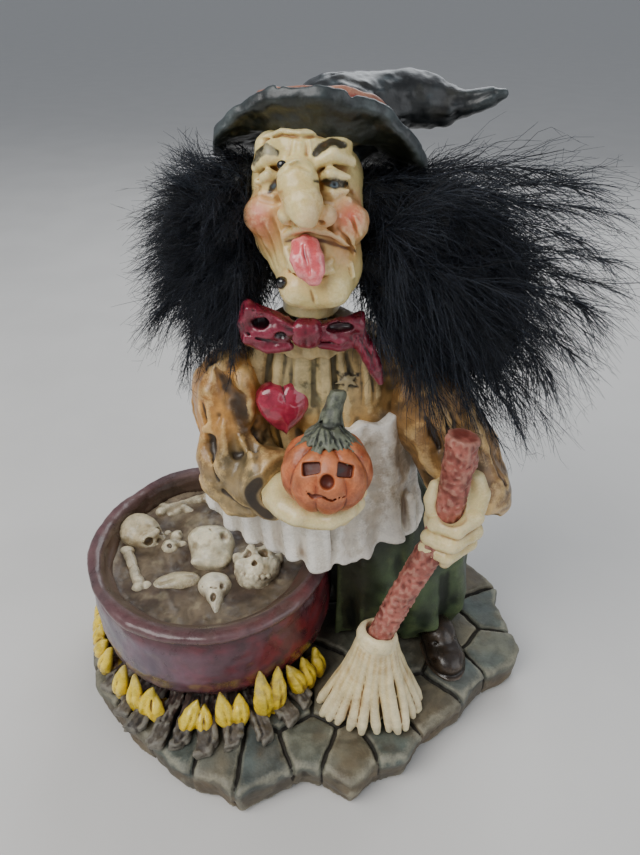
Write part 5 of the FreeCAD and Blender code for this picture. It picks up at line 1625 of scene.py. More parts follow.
def gripping_hand():
    clay = Clay((15.4, -20.0, 43.4), (35.4, 0.0, 69.6), 0.25)
    clay.put(0, egg((25.2, -10.0, 54.9), (5.2, 4.9, 6.6), turn("y", -14)))
    clay.put(1.4, chain([(25.8, -8.8, 55.0), (29.4, -3.6, 57.2)], [4.8, 4.4]))
    clay.put(1.2, egg((25.4, -8.4, 59.8), (4.9, 3.2, 5.6), turn("y", -8)))
    clay.put(0.8,
             chain([(29.0, -10.6, 58.6), (29.6, -9.4, 61.6), (28.8, -8.4, 64.4)],
                   [2.0, 2.1, 1.7]),
             chain([(21.0, -11.0, 58.6), (20.6, -10.4, 61.0), (21.2, -9.4, 63.6)],
                   [1.4, 1.4, 1.1]))
    clay.put(0.3, *(chain(line, [r * 0.9, r, r * 0.95]) for line, r in GRIP_FINGERS))
    for z in (56.4, 53.1, 50.0):        # gaps between the fingers
        line = [(20.4, -15.0, z - 0.2), (24.2, -17.6, z + 0.2), (29.2, -14.6, z + 0.8)]
        clay.dig(0.4, chain(line, [0.22, 0.3, 0.2]))
    clay.dig(0.35, *(chain([(25.0, -17.4, z + 1.2), (25.4, -17.6, z - 1.0)], 0.16)
                     for z in (58.2, 54.8, 51.5)))
    clay.rough((2.0, 0.16, 297)).rough((0.8, 0.05, 298))
    clay.dig(0.2, chain([(22.0, -12.3, 47.0), (24.2, -10.8, 60.0), STICK[-1]], 2.6))
    clay.dig(0.3, pill((24.0, -13.4, 61.4), (24.8, -12.6, 72.0), 3.3))
    clay.keep(lambda x, y, z: z - 65.8)
    skin(clay, "gripping_hand", "hand_left", SKIN, hand_paint, (0.55, 1.7))


def carved_pumpkin():
    clay = Clay((-8.6, -27.2, 64.6), (10.8, -8.0, 82.2), 0.19)
    x, y, z = [axis - F32(c) for axis, c in zip(clay.grid(), PUMPKIN)]
    round_off = np.sqrt((x / 7.3) ** 2 + (y / 7.3) ** 2 + (z / 6.7) ** 2) + 1e-6
    rib = 0.62 * np.abs(np.cos(np.arctan2(y, x) * 4.5 + 0.35)) ** 0.6 - 0.3
    radius = np.sqrt(x * x + y * y)
    dist = (round_off - 1) * 6.9 - rib * ease(0.5, 4.5, radius)
    clay.fill(dist + 1.3 * np.exp(-((radius / 2.4) ** 2)) * (z > 0))
    clay.rough(((1.4, 1.4, 1.8), 0.12, 301))

    def at(direction):
        return PUMPKIN + unit(direction) * 7.15
    # direction from the middle, half width, half height, tilt
    eyes = [((-0.36, -0.70, 0.60), 1.5, 1.0, 6), ((0.40, -0.70, 0.54), 1.45, 1.1, -10)]
    snout = at((0.00, -0.90, 0.39))
    mouth = [at(d) for d in ((-0.42, -0.89, 0.12), (-0.30, -0.94, 0.01), (-0.10, -0.98, 0.07),
                             (0.10, -0.99, -0.02), (0.26, -0.96, 0.03), (0.38, -0.92, 0.00))]
    for direction, width, height, tilt in eyes:
        def slot(x, y, z):
            hole = soft_max(np.abs(x) - width, np.abs(y) - height * (1 - 0.12 * x / width), 0.5)
            return soft_max(hole, np.abs(z) - 1.2, 0.2)
        axes = axes_along(unit(direction)) @ turn("z", tilt)
        clay.dig(0.12, placed(at(direction), axes, slot, (width + 1, height + 1, 2.0)))
    clay.dig(0.2, egg(snout, (1.2, 1.15, 1.3)))
    clay.dig(0.15, chain(mouth, [0.3, 0.42, 0.3, 0.42, 0.3, 0.2]))
    pits = [(PUMPKIN + (at(eye[0]) - PUMPKIN) * 0.87, 1.75) for eye in eyes]
    pits += [(PUMPKIN + (snout - PUMPKIN) * 0.88, 1.3)] + [(p, 0.45) for p in mouth]

    def paint(points, normals):
        depth = 7.0 - np.linalg.norm((points - PUMPKIN) * vec(1, 1, 1.09), axis=1)
        sunk = ease(0.0, 0.45, depth)
        return coats(points, (178, 94, 54), ((146, 72, 42), patch(points, 2.6, 305, -0.2, 0.7)),
                     ((226, 150, 98), patch(points, 1.8, 308, 0.1, 0.9) * 0.4),
                     *(((20, 10, 6), spot(points, p, r, 1.25, 0.9) * sunk) for p, r in pits))
    skin(clay, "carved_pumpkin", "pumpkin", GOURD, paint, (0.5, 1.5))


def pumpkin_stem():
    clay = Clay((-5.4, -22.2, 74.6), (9.4, -7.2, 90.0), 0.18)
    stem = [vec(1.4, -16.2, 78.8), vec(1.7, -15.0, 81.4), vec(2.2, -13.6, 83.6),
            vec(2.9, -12.4, 85.4)]
    clay.put(0, chain(stem, [2.6, 1.7, 1.35, 1.3]))
    for k in range(7):      # ribs up the stem
        t = 2 * math.pi * k / 7
        out = vec(math.cos(t), 0.8 * math.sin(t), 0.3 * math.sin(t))
        line = [p + out * r for p, r in zip(stem, (2.5, 1.6, 1.2, 1.15))]
        clay.put(0.2, chain(line, [0.7, 0.5, 0.36, 0.3]))
    for k in range(11):     # leaves over the top of the pumpkin
        t = 2 * math.pi * k / 11 + 0.2
        c, s = math.cos(t), math.sin(t)
        side = vec(-s, c, 0)
        length = (5.6, 3.9, 4.9, 3.5, 5.3)[k % 5]
        root = vec(1.4 + 1.2 * c, -16.4 + 1.1 * s, 81.2)
        tip = vec(1.2 + length * c, -17.3 + length * s, 80.9 - 0.105 * length * length)
        mid = (root * 0.5 + tip * 0.5) + vec(0, 0, 0.25)
        clay.put(0.3, leaf(root, mid, side, 1.3, 0.7, [(0, 1.0), (1, 0.85)]),
                 leaf(mid, tip, side, 1.15, 0.6, [(0, 0.95), (0.5, 0.7), (1, 0.05)]))
        for j in (-0.5, 0.35):
            clay.dig(0.2, pill(root + side * j * 1.5 + vec(0, 0, 0.75),
                               tip + side * j * 0.5 + vec(0, 0, 0.75), 0.16))
    clay.rough((1.0, 0.16, 311))
    clay.keep(lambda x, y, z: (z - 85.9) * 0.9 + (y + 12.4) * 0.35)
    skin(clay, "pumpkin_stem", "pumpkin_stalk", STALK, plain(64, 68, 58),
         (0.4, 1.2))


# ---------------------------------------------------------------------------------------------
# head: places are from its middle, along its own tilted axes
# ---------------------------------------------------------------------------------------------
HEAD = vec(-1.7, 1.6, 110.4)
HEAD_AXES = turn("z", -6) @ turn("x", -16) @ turn("y", -6)
face = offset_from(HEAD, HEAD_AXES)
EYES = ((-4.1, 3.7, -1), (4.7, 3.1, 1))     # x, z, side
# soft edge, centre, radii
FACE_LUMPS = [
    (0, (-.2, 1.5, 3), (9, 9, 10)),             # skull
    (2, (-.4, -1.2, -2), (8.6, 7.4, 8.2)),      # middle of the face
    (2, (1, -2.2, -8.2), (6.9, 6, 6.6)),        # jaw
    (1.6, (-5.6, -5.2, -.4), (3.8, 3.2, 3.1)),  # cheekbones
    (1.6, (6, -5.4, -2.2), (3.6, 3.2, 3.2)),
    (2.2, (-1.8, -7.2, -11.4), (2.6, 2.5, 2.4)),    # two-lobed chin
    (2.2, (3.4, -7, -12), (2.8, 2.6, 2.5)),
    (1.4, (1, -5.9, -11), (5.2, 3.4, 3.4))]
BROW_RIDGES = [[(-6.6, -6.2, 6.3), (-4, -8, 7.5), (-1.4, -7.9, 6.6)],
               [(2.4, -8, 6), (4.8, -8, 7), (7.4, -6.2, 5.8)]]
FOREHEAD = [(-4, -5.2, 8.4, 2.8), (.8, -5.7, 8.8, 3), (5.2, -4.7, 8.2, 2.5)]    # x, y, z, radius
# from each eye: soft edge, points, radii of the upper lid, lower lid and bag
EYE_RIDGES = [(.5, [(-2.2, -7.1, .7), (-.3, -8.1, 1.35), (2.2, -7.1, .8)], [.5, 1, .5]),
              (.5, [(-1.9, -7.1, -1), (0, -7.7, -1.5), (1.9, -7.1, -1)], [.4, .65, .4]),
              (.9, [(-2, -7, -2.3), (0, -7.4, -3), (2, -7, -2.3)], [.5, .8, .5])]
EYE_GROOVES = [[(-2, -7.9, -1.9), (0, -8.4, -2.4), (1.8, -7.8, -1.9)],
               [(-1.8, -8.2, 2), (0, -8.9, 2.4), (1.9, -8.2, 2)]]
NOSE_LUMPS = [(.9, (-.2, -10.4, 3.4), (3.1, 2.9, 3.3)), (1, (.7, -12.2, .7), (2.7, 2.5, 2.7)),
              (.8, (1.1, -13.2, -.9), (1.9, 1.7, 1.8)), (.8, (-1.9, -9.9, -.5), (1.5, 1.7, 1.4)),
              (.8, (3.4, -9.9, -1), (1.6, 1.8, 1.5))]
# soft edge, points, radii of the nostrils and the creases beside them
NOSE_CUTS = [(.3, [(-1.2, -10.6, -1.5), (-1.5, -11.6, -2.2)], [.6, .7]),
             (.3, [(2.8, -10.6, -1.8), (3, -11.6, -2.5)], [.6, .7]),
             (.45, [(-2.9, -9.2, 1.1), (-3.4, -8.9, -.8), (-2.9, -9.3, -2)], [.18, .35, .25]),
             (.45, [(4.7, -9.1, .8), (5.2, -8.8, -1), (4.7, -9.1, -2.2)], [.18, .35, .25])]
LIPS = [(.9, [(-3.4, -8, -3.4), (-1.2, -9.2, -2.7), (1, -9.6, -2.6), (3.8, -9, -3.6),
              (6.6, -7, -5.6)], [.4, .6, .6, .42, .2]),
        (.8, [(-2.9, -7.8, -5.6), (-1.9, -8.4, -7.6), (.8, -8.6, -8.9), (2.6, -8.4, -8.3),
              (3.6, -8, -7.4)], [.5, .7, .75, .6, .3])]
# points, radius
WRINKLES = [
    ([(-5, -8.6, -.9), (-4.5, -8.7, -3.6), (-4.4, -8.2, -7)], .32),
    ([(-6.8, -7.8, -1.8), (-6.2, -7.7, -4.6), (-5.8, -7.2, -7.6)], .3),
    ([(-8.4, -6, -2.4), (-7.6, -6.4, -5.4), (-6.6, -6.4, -8.2)], .28),
    ([(5.6, -8.2, -2.8), (7, -7.2, -4.4), (7.8, -6, -6.6)], .3),
    ([(7.6, -6.4, -1.4), (8.4, -5.2, -4.2)], .25),
    ([(6.8, -6.4, -8.2), (7, -5.8, -10)], .22),
    ([(-3.2, -8.6, -8.4), (-1, -9.4, -9.2), (1.6, -9.6, -9.6), (4.2, -8.8, -9.2)], .3),
    ([(.5, -10.2, -11.4), (.8, -10.4, -12.4), (.8, -9.8, -13.6)], .2),
    ([(-5.6, -7.8, 9.6), (-2.6, -8.9, 10.3), (.6, -9.4, 9.6), (4.4, -8.6, 9.6)], .28),
    ([(-4.8, -7.2, 11.4), (-1, -8.4, 12), (3.8, -7.8, 11.4)], .26),
    ([(-1.4, -9.8, 7.6), (-1, -9.8, 9.2)], .24), ([(1.6, -9.9, 7.4), (1.4, -9.8, 9)], .24),
    ([(-1.4, -9.6, 5.4), (.2, -10.3, 5.9), (1.9, -9.7, 5.2)], .26),
    ([(-6.6, -6.6, 3.4), (-8, -5.2, 2.4)], .24), ([(-6.6, -6.6, 4.6), (-8, -5, 4.6)], .24),
    ([(7.2, -6.2, 2.8), (8.4, -4.8, 2)], .24),
    ([(-9.2, -3.6, -3.4), (-8.2, -4.6, -7.2), (-6.4, -5.4, -10)], .3)]
# x, z, radius, strength: amber painted shade beside the nose and on the lower cheeks, then the
# blushes
PAINTED_SHADE_DABS = [(-5.6, -3.6, 2.2, .75), (5.4, -6.6, 2.6, .7), (3.4, -3.4, 1.4, .4),
          (-2.2, 1.6, 1.2, .4)]
BLUSHES = [(-6.9, -.4, 2.9, .95), (6.9, -1.6, 3.1, .95), (1.4, -1.4, 1.6, .25),
           (-3, -9.5, 2.2, .2)]
# painted lines: x, z, half width
BROW_LINES = [[(-6.6, 6.9, .35), (-5.6, 8, .7), (-4.4, 8.5, .78), (-3, 7.8, .5)],
              [(2.5, 7.3, .45), (3.3, 8.1, .68), (4.7, 8.6, .7), (6.4, 8.2, .5)]]


def face_egg(centre, radii, degrees=0):
    return egg(face(*centre), radii, HEAD_AXES @ turn("y", degrees))


def face_chain(points, radii):
    return chain([face(*p) for p in points], radii)


def face_paint(points, normals):
    x, y, z = ((points - HEAD) @ HEAD_AXES).T
    ragged = .12 * noise(points, .7, 409)
    front = y < -2.0
    dark, grey_blue, lip = (20, 16, 15), (92, 108, 120), (70, 22, 18)

    def dabs(colour, rows):
        return [(colour, np.exp(-(((x - at_x) ** 2 + (z - at_z) ** 2) / r ** 2)) * most * front)
                for at_x, at_z, r, most in rows]

    def stroke(line, colour, amount=.95, eye=(0, 0)):
        line = [(at_x + eye[0], at_z + eye[1], half) for at_x, at_z, half in line]
        dist = np.full(len(points), 9.0)
        for (ax, az, aw), (bx, bz, bw) in zip(line, line[1:]):
            square = (bx - ax) ** 2 + (bz - az) ** 2 + 1e-9
            t = np.clip(((x - ax) * (bx - ax) + (z - az) * (bz - az)) / square, 0, 1)
            away = np.hypot(x - ax - t * (bx - ax), z - az - t * (bz - az))
            dist = np.minimum(dist, away - (aw + t * (bw - aw)))
        return colour, ease(.12, -.12, dist + ragged) * amount * (y < -4.5)
    right, left = [eye[:2] for eye in EYES]
    layers = [((204, 168, 96), patch(points, 6.0, 405, -.1, .8) * 0.5),
              ((238, 224, 168), patch(points, 3.0, 408, .1, .9) * 0.4)]
    # amber painted shade, then the cheek blush
    layers += dabs((188, 128, 62), PAINTED_SHADE_DABS) + dabs((204, 98, 76), BLUSHES)
    layers += [stroke(line, dark) for line in BROW_LINES]
    # the grey-blue centres of the eyes are painted iris with a painted highlight
    layers += [     # the open left eye, then the squinting right eye
        stroke([(-2.3, .45, .1), (-1.1, .35, .5), (.3, .1, .85), (1.5, -.05, .5),
                (2.4, .1, .12)], dark, eye=left),
        stroke([(-.1, -.05, .42), (.3, -.1, .36)], grey_blue, .9, left),
        stroke([(.1, -.05, .17), (.15, -.05, .17)], (8, 8, 10), eye=left),
        stroke([(1.3, .9, .16), (.6, .35, .45), (-.1, -.3, .5), (-.6, -1, .2)], dark, eye=right),
        stroke([(.35, .05, .24), (.05, -.25, .22)], grey_blue, .85, right)]
    # painted shade: brown lines in the creases under and over each eye
    for eye in (right, left):
        layers += [stroke([(-2.2, -1.1, .2), (0, -1.5, .3), (2, -1.1, .2)], (168, 108, 62), .45,
                          eye),
                   stroke([(-1.9, 1.9, .3), (1.9, 1.9, .3)], (150, 120, 84), .4, eye)]
    mouth = ease(.9, .2, np.abs(z + 5.6) / 2.6) * ease(1, .6, np.abs(x - .6) / 2.6) \
        * ease(-8.4, -7.2, y) * (y < -4.5)
    layers += [((70, 18, 20), mouth * 0.95),
               stroke([(-2.8, -4.2, .2), (.2, -3.8, .3), (3.6, -4.8, .3), (7.3, -6.5, .14)],
                      lip, .9),
               stroke([(-3.2, -3.4, .3), (.8, -2.7, .4), (3.8, -3.9, .35), (6.4, -5.6, .2)],
                      (200, 120, 84), .35)]
    return coats(points, (228, 208, 144), *layers)


def witch_head():
    """Builds the head and returns its clay, on which the warts are placed."""
    clay = Clay((-14.6, -17.0, 92.4), (11.2, 14.0, 125.0), 0.17)
    for soft, centre, radii in FACE_LUMPS:
        clay.put(soft, face_egg(centre, radii))
    clay.put(1.5, *(face_chain(line, [.7, 1, .7]) for line in BROW_RIDGES))
    clay.put(1.8, *(egg(face(x, y, z), radius) for x, y, z, radius in FOREHEAD))
    for eye_x, eye_z, side in EYES:
        def around(line, radii):
            return face_chain([(x + eye_x, y, z + eye_z) for x, y, z in line], radii)
        clay.dig(1.3, face_egg((eye_x, -9, eye_z), (2.5, 2, 1.7), 12 * side))
        clay.put(0.3, face_egg((eye_x, -6.1, eye_z), (2.1, 2, 1.7)))
        for soft, line, radii in EYE_RIDGES:
            clay.put(soft, around(line, radii))
        clay.dig(0.5, *(around(line, [.1, .18, .1]) for line in EYE_GROOVES))
    clay.put(1.0, face_chain([(-.2, -7.6, 6.4), (-.1, -9, 4.6), (.4, -11.6, 1.6)],
                             [1.9, 2.4, 2.5]))
    for soft, centre, radii in NOSE_LUMPS:
        clay.put(soft, face_egg(centre, radii))
    for soft, line, radii in NOSE_CUTS:
        clay.dig(soft, face_chain(line, radii))
    for soft, line, radii in LIPS:
        clay.put(soft, face_chain(line, radii))
    # open mouth
    clay.dig(.35, face_chain([(-2.6, -9.4, -4.3), (.2, -10, -3.9), (3.6, -9.4, -4.9),
                              (7.2, -7.4, -6.4)], [.55, .8, .7, .3]))
    clay.dig(.5, face_egg((.4, -8.8, -6), (2.4, 1.9, 2.5)))
    for points, radius in WRINKLES:     # a groove with a raised fold beside or above it
        line = [clay.ray(face(x, y - 6.0, z), HEAD_AXES @ vec(-x * 0.02, 1, 0))
                for x, y, z in points]
        clay.dig(0.55, groove(line, radius, 0.5, 0.4))
        upright = abs(points[0][0] - points[-1][0]) < 2.5
        shift = HEAD_AXES @ (vec(0.55, 0.1, 0) if upright else vec(0, 0.1, 0.55))
        clay.put(0.6, groove([p + shift for p in line], radius, 0.4, 0.3, 0.8))
    clay.put(2.0, pill((NECK_X, NECK_Y, 94.2), (NECK_X, 3.6, 103.0), 5.0, 6.0))
    clay.rough((4.0, 0.22, 401)).rough((1.6, 0.12, 402)).rough((0.7, 0.045, 403))
    clay.dig(0.1, face_egg((-.2, -9, -6), (1.5, 1, 2.2)))
    clear_bore(clay, 4.1, 90, 103.8)
    clay.keep(lambda x, y, z: 92.8 - z)
    skin(clay, "witch_head", "head_casting", SKIN, face_paint, (0.5, 1.7), "head")
    return clay


def stuck_out_tongue():
    clay = Clay((-6.6, -15.6, 97.0), (4.4, -4.0, 111.0), 0.13)
    clay.put(.3, face_chain([(.2, -7.4, -4.4), (.1, -9.8, -4.8), (.4, -11.2, -6.6),
                             (.9, -11.6, -8.6), (1.2, -11.2, -9.6)], [1.2, 1.3, 1.3, 1.15, .9]))
    for s in (-1, 1):
        clay.put(.55, face_chain([(.1 + s * 1.1, -9.3, -4.7), (.4 + s * 1.45, -11, -6.6),
                                  (.9 + s * 1.2, -11.5, -8.5), (1.2 + s * .4, -11.2, -9.8)],
                                 [.95, 1.05, .95, .6]))
    clay.dig(.4, face_chain([(.1, -11.4, -4.8), (.45, -12.5, -6.7), (.9, -12.8, -8.8)],
                            [.18, .3, .2]))
    clay.rough((.8, 0.07, 411))

    def paint(points, normals):
        return coats(points, (216, 92, 96), ((232, 138, 128), patch(points, 1.8, 413, -.1, .8)))
    skin(clay, "stuck_out_tongue", "tongue", TONGUE, paint, (0.35, 1.0), "head")


def wart_beads(head_clay):
    chin, brow = [head_clay.ray(face(x, -16.0, z), HEAD_AXES @ vec(0, 1, 0))
                  for x, z in ((-3.9, -10.0), (-2.0, 6.0))]
    clay = Clay(np.minimum(chin, brow) - 2.4, np.maximum(chin, brow) + 2.4, 0.12)
    clay.put(0, egg(chin + HEAD_AXES @ vec(0, -.25, 0), .95),
             egg(brow + HEAD_AXES @ vec(0, -.1, 0), (.75, .6, .7)))
    clay.put(.3, egg(chin + HEAD_AXES @ vec(.3, -.9, .1), .4))
    clay.rough((.7, .05, 415))
    skin(clay, "wart_beads", "warts", WART, plain(14, 12, 12), (0.3, 0.8), "head",
         crumbs=20)


# ---------------------------------------------------------------------------------------------
# hat: places are from the middle of the brim, along the hat's own axes
# ---------------------------------------------------------------------------------------------
HAT_UP = unit((0.10, 0.42, 0.90))
HAT_AT = vec(0.0, 6.2, 119.4)
HAT_AXES = axes_along(HAT_UP, (1, 0, 0))
on_hat = offset_from(HAT_AT, HAT_AXES)
HEAD_ROOM = egg(face(-.2, 1.5, 3.0), (8.7, 8.7, 9.7), HEAD_AXES)
CROWN_LINE = [on_hat(2.0, 0.8, 3.0), (6.6, 10.8, 122.6), (13.1, 11.8, 124.6),
              (16.6, 11.6, 124.1), (19.5, 11.2, 123.7), (22.5, 10.6, 123.9),
              (26.3, 9.8, 125.1), (28.0, 9.2, 125.6)]
CROWN_RADII = [7.0, 5.9, 4.35, 3.9, 3.0, 2.0, 1.5, 0.95]
# points, radius
CROWN_CREASES = [
    ([on_hat(-2.0, -5.6, 7.4), on_hat(1.0, -3.0, 9.0), on_hat(3.6, -1.0, 9.8)], .55),
    ([on_hat(2.0, -6.4, 7.4), on_hat(6.0, -4.4, 7.4), on_hat(9.6, -3.4, 6.4)], .6),
    ([(7.6, 4.8, 125.4), (10.6, 5.9, 126.6), (13.6, 6.9, 127.4)], .6),
    ([(9.6, 6.0, 127.6), (12.6, 7.2, 128.4), (15.4, 7.8, 127.6)], .5),
    ([(13.0, 7.0, 125.4), (17.0, 7.2, 125.9), (20.0, 8.2, 125.2)], .42),
    ([(12.4, 7.3, 122.6), (17.0, 7.8, 121.9), (21.0, 8.8, 122.6)], .38),
    ([(20.6, 8.6, 124.6), (24.0, 8.5, 125.1), (26.4, 8.6, 125.9)], .28),
    ([on_hat(-5.4, 2.0, 5.6), on_hat(-3.2, 5.0, 6.6)], .5),
    ([(8.0, 14.0, 127.6), (13.0, 14.4, 127.6)], .5),
    ([(6.0, 3.0, 124.6), (7.6, 4.6, 121.6), (9.4, 6.0, 119.6)], .5)]


def brim_height(x, y):
    """Middle of the brim over the hat's plane: turned up at the front, sagging at the sides."""
    radius = np.sqrt(x * x + y * y) + F32(1e-6)
    front = ease(0.2, 0.9, -y / radius)
    return (0.9 - 1.9 * front + 3.7 * ease(8.5, 14.5, radius) * front
            - 0.0105 * x * x * ease(3, 14, np.abs(x)))


def hat_brim():
    clay = Clay((-19.0, -13.6, 109.6), (19.6, 25.4, 131.0), 0.21)

    def brim(x, y, z):
        radius = np.sqrt(x * x + y * y) + F32(1e-6)
        angle = np.arctan2(y, x)
        front = ease(0.2, 0.9, -y / radius)
        edge = 16.7 - 2.9 * front + 0.35 * np.sin(angle * 5 + 1.0) * (1 - front) \
            + 0.2 * np.sin(angle * 11)
        height = brim_height(x, y) \
            + 0.35 * np.sin(angle * 3 + 0.4) * ease(9, 16, radius) * (1 - front)
        thick = 0.55 + 0.3 * ease(edge - 2.6, edge - 0.6, radius)
        return soft_max(np.abs(z - height) * 0.8 - thick, radius - edge, 0.7)
    clay.put(0, placed(HAT_AT, HAT_AXES, brim, (18.5, 18.5, 7.5)))
    rng = np.random.default_rng(31)
    for k in range(30):     # short grooves running outwards
        angle = math.radians(-180 + k * 12 + rng.uniform(-4, 4))
        inner = 11.9
        outer = (14.6 if math.sin(angle) > -0.3 else 12.8) + rng.uniform(-0.6, 0.6)
        line = []
        for radius, bend in ((inner, 0), (outer, .05)):
            height = brim_height(np.float64(radius * math.cos(angle)),
                                 np.float64(radius * math.sin(angle)))
            line.append(on_hat(radius * math.cos(angle + bend), radius * math.sin(angle + bend),
                               float(height) + 1.0))
        clay.dig(.5, chain(line, [.15, .35]))
    clay.rough(((2.2, 2.2, 1.4), .16, 421)).rough((.8, .06, 422)).dig(0.2, HEAD_ROOM)

    def paint(points, normals):
        x, y, _ = ((points - HAT_AT) @ HAT_AXES).T
        under = ease(-.1, -.5, normals @ HAT_UP)
        radius = np.hypot(x, y)
        front = ease(0.2, 0.9, -y / (radius + 1e-6))
        # painted highlight along the top of the brim's edge
        rim = ease(15.2, 16.4, radius + 2.9 * front) * (1 - under)
        return coats(points, (24, 26, 26), ((13, 14, 15), patch(points, 4.0, 425, -.1, .7)),
                     ((58, 66, 66), patch(points, 1.8, 428, .2, .9) * 0.45),
                     ((30, 33, 22), under * 0.9),
                     ((66, 76, 76), rim * 0.4 * patch(points, 1.4, 429, -.3, .5)),
                     ((92, 88, 72), ease(13.4, 12.2, radius) * (1 - under) * 0.5))
    skin(clay, "hat_brim_cast", "hat_brim", HAT, paint, (.5, 1.7), "head")


def crown_dome(centre, half, size):
    """A dome on the brim; half is its half width, half depth and height."""
    least = min(half)

    def local(x, y, z):
        ring = np.sqrt(((x - centre[0]) / half[0]) ** 2 + ((y - centre[1]) / half[1]) ** 2
                       + (np.maximum(z, 0) / half[2]) ** 2)
        return soft_max(ring * least - least, brim_height(x, y) + F32(.3) - z, .3)
    return placed(HAT_AT, HAT_AXES, local, size)


def hat_crown():
    clay = Clay((-13.6, -8.4, 113.6), (33.0, 20.6, 134.0), 0.23)
    clay.put(0, crown_dome((.3, .6), (10.7, 10.5, 5.4), (12.5, 12.5, 8)))
    clay.put(1.4, crown_dome((3.0, 1.2), (8.2, 9.0, 9.4), (12.5, 12.5, 12)))
    clay.put(1.8, chain(CROWN_LINE, CROWN_RADII))
    clay.dig(.7, *(groove(line, radius, .6, .5) for line, radius in CROWN_CREASES))
    clay.rough(((3.0, 3.0, 2.2), .26, 431)).rough((1.2, .14, 432)).dig(0.2, HEAD_ROOM)

    def paint(points, normals):
        # painted sheen: blue-grey on the upward-facing patches of the crown
        painted_top_sheen = patch(points, 2.2, 438, .15, .9) * .5 * ease(-.2, .6, normals[:, 2])
        return coats(points, (26, 29, 30), ((13, 14, 16), patch(points, 4.0, 435, -.1, .7)),
                     ((64, 78, 84), painted_top_sheen),
                     ((58, 56, 44), patch(points, 3.0, 439, .2, .8) * .35),
                     ((40, 46, 48), ease(18, 27, points[:, 0]) * .4))
    skin(clay, "hat_crown_cast", "hat_crown", HAT, paint, (.5, 1.9), "head")


def hat_band():
    clay = Clay((-14.0, -10.0, 113.6), (15.4, 21.6, 131.0), 0.21)

    def band(x, y, z):
        bottom = brim_height(x, y) + F32(.45)
        x = x - .3
        y = y - .6
        radius = np.sqrt(x * x + y * y) + F32(1e-6)
        angle = np.arctan2(y, x)
        top = 4.9 + .25 * np.sin(angle * 4) + .12 * np.sin(angle * 13)
        wall = np.abs(radius - (11.0 - .16 * z + .12 * np.sin(angle * 7))) - .8
        return soft_max(wall, np.maximum(bottom - z, z - top), .5)
    clay.put(0, placed(HAT_AT, HAT_AXES, band, (13.5, 13.5, 6.2)))
    clay.rough((1.6, .12, 441)).rough((.7, .05, 442)).dig(0.2, HEAD_ROOM)

    def paint(points, normals):
        z = ((points - HAT_AT) @ HAT_AXES)[:, 2]
        return coats(points, (134, 50, 44), ((96, 36, 34), patch(points, 2.6, 445, -.2, .7)),
                     ((168, 124, 98),
                      ease(4.0, 4.9, z) * .5 * patch(points, 1.6, 448, -.2, .4)),
                     ((128, 112, 88), ease(3.4, 2.6, z) * .7))
    skin(clay, "hat_band_cast", "hat_band", BAND, paint, (.45, 1.3), "head")


# ---------------------------------------------------------------------------------------------
# feather hair: quills with soft barbs round a dark woolly core
# ---------------------------------------------------------------------------------------------
# the black of the feathers, then the blue and grey painted sheen for the lighter strands and their
# tips
INK, SHEEN_BLUE, SHEEN_GREY = rgb(9, 10, 14), rgb(24, 27, 38), rgb(62, 65, 76)
# roots are x, y, z and tips are x, y, z, size
LEFT_ROOTS = [
    (8, 3, 113.5), (8.6, 6, 110), (8.6, 1.5, 107.5), (8.4, 7, 104), (7.8, .5, 102),
    (7.6, 9, 112.5), (7, 3, 99), (9.2, -1.5, 108), (9, -2.5, 103), (8.4, -2.5, 98.5),
    (9.6, 0, 113.5)]
LEFT_LIFTED_TIPS = [
    (27, 4, 113, .8), (35, 8, 111.5, .9), (42, 6, 108.5, 1), (46, 10, 103.5, 1),
    (47.5, 4, 98, 1), (49, 9, 91, 1), (48, 3, 84, 1), (47, 8, 76.5, 1), (44, 5, 71, .9),
    (39, 1, 74, .9), (35, -3, 78.5, .9), (30, -5, 82.5, .9), (24, -6, 85, .85),
    (18, -6, 87.5, .8), (13, -4.5, 88, .65), (38, 12, 96, .9), (40, -1, 90, 1),
    (33, -3, 92, .9), (26, -3, 93.5, .8), (30, 13, 104, .9), (36, 1, 101, .9),
    (28, 0, 105, .85), (20, 1, 108, .7), (33, 15, 88, .9), (24, 14, 92, .8), (42, 13, 84, .9),
    (17, 12, 98, .7), (22, 13, 112, .7), (45, 0, 94, .9), (38, 5, 66.5, .7), (50, 7, 98.5, .9),
    (15.5, -3, 96, .6), (41, 8, 80, .9), (35, 8, 84, .9), (13, -5, 101, .6),
    (15, -5, 105.5, .6), (19, -6, 99, .7), (12, -5, 93.5, .6), (22, -6, 96, .7),
    (12.5, -4, 110, .6), (17, -4, 111.5, .6), (30, -4, 98, .8), (31, -2, 76, .7),
    (27, -4, 80, .7), (25, 2, 109.5, .8), (34, 3, 107, .9), (41, 2, 103, .9)]
LEFT_TIPS = [
    (20, -6, 78, .7), (24, -5, 72, .7), (29, -3, 69, .7), (34, 0, 66, .8), (16, -6, 82, .6),
    (13, -6.5, 86, .5), (39, 3, 70, .8), (43, 4, 75, .8), (12, -6, 97, .55),
    (11.5, -6, 104, .55), (47, 6, 88, .9), (44, 2, 80, .9)]
RIGHT_ROOTS = [
    (-10.8, 3, 113), (-11.4, 6, 109.5), (-11.6, 2, 106.5), (-11, 7, 103.5), (-10.6, 1.5, 101.5),
    (-10, 8.5, 112.5), (-10.6, -1, 113.5), (-11.4, -1.6, 106), (-12.5, 3, 115)]
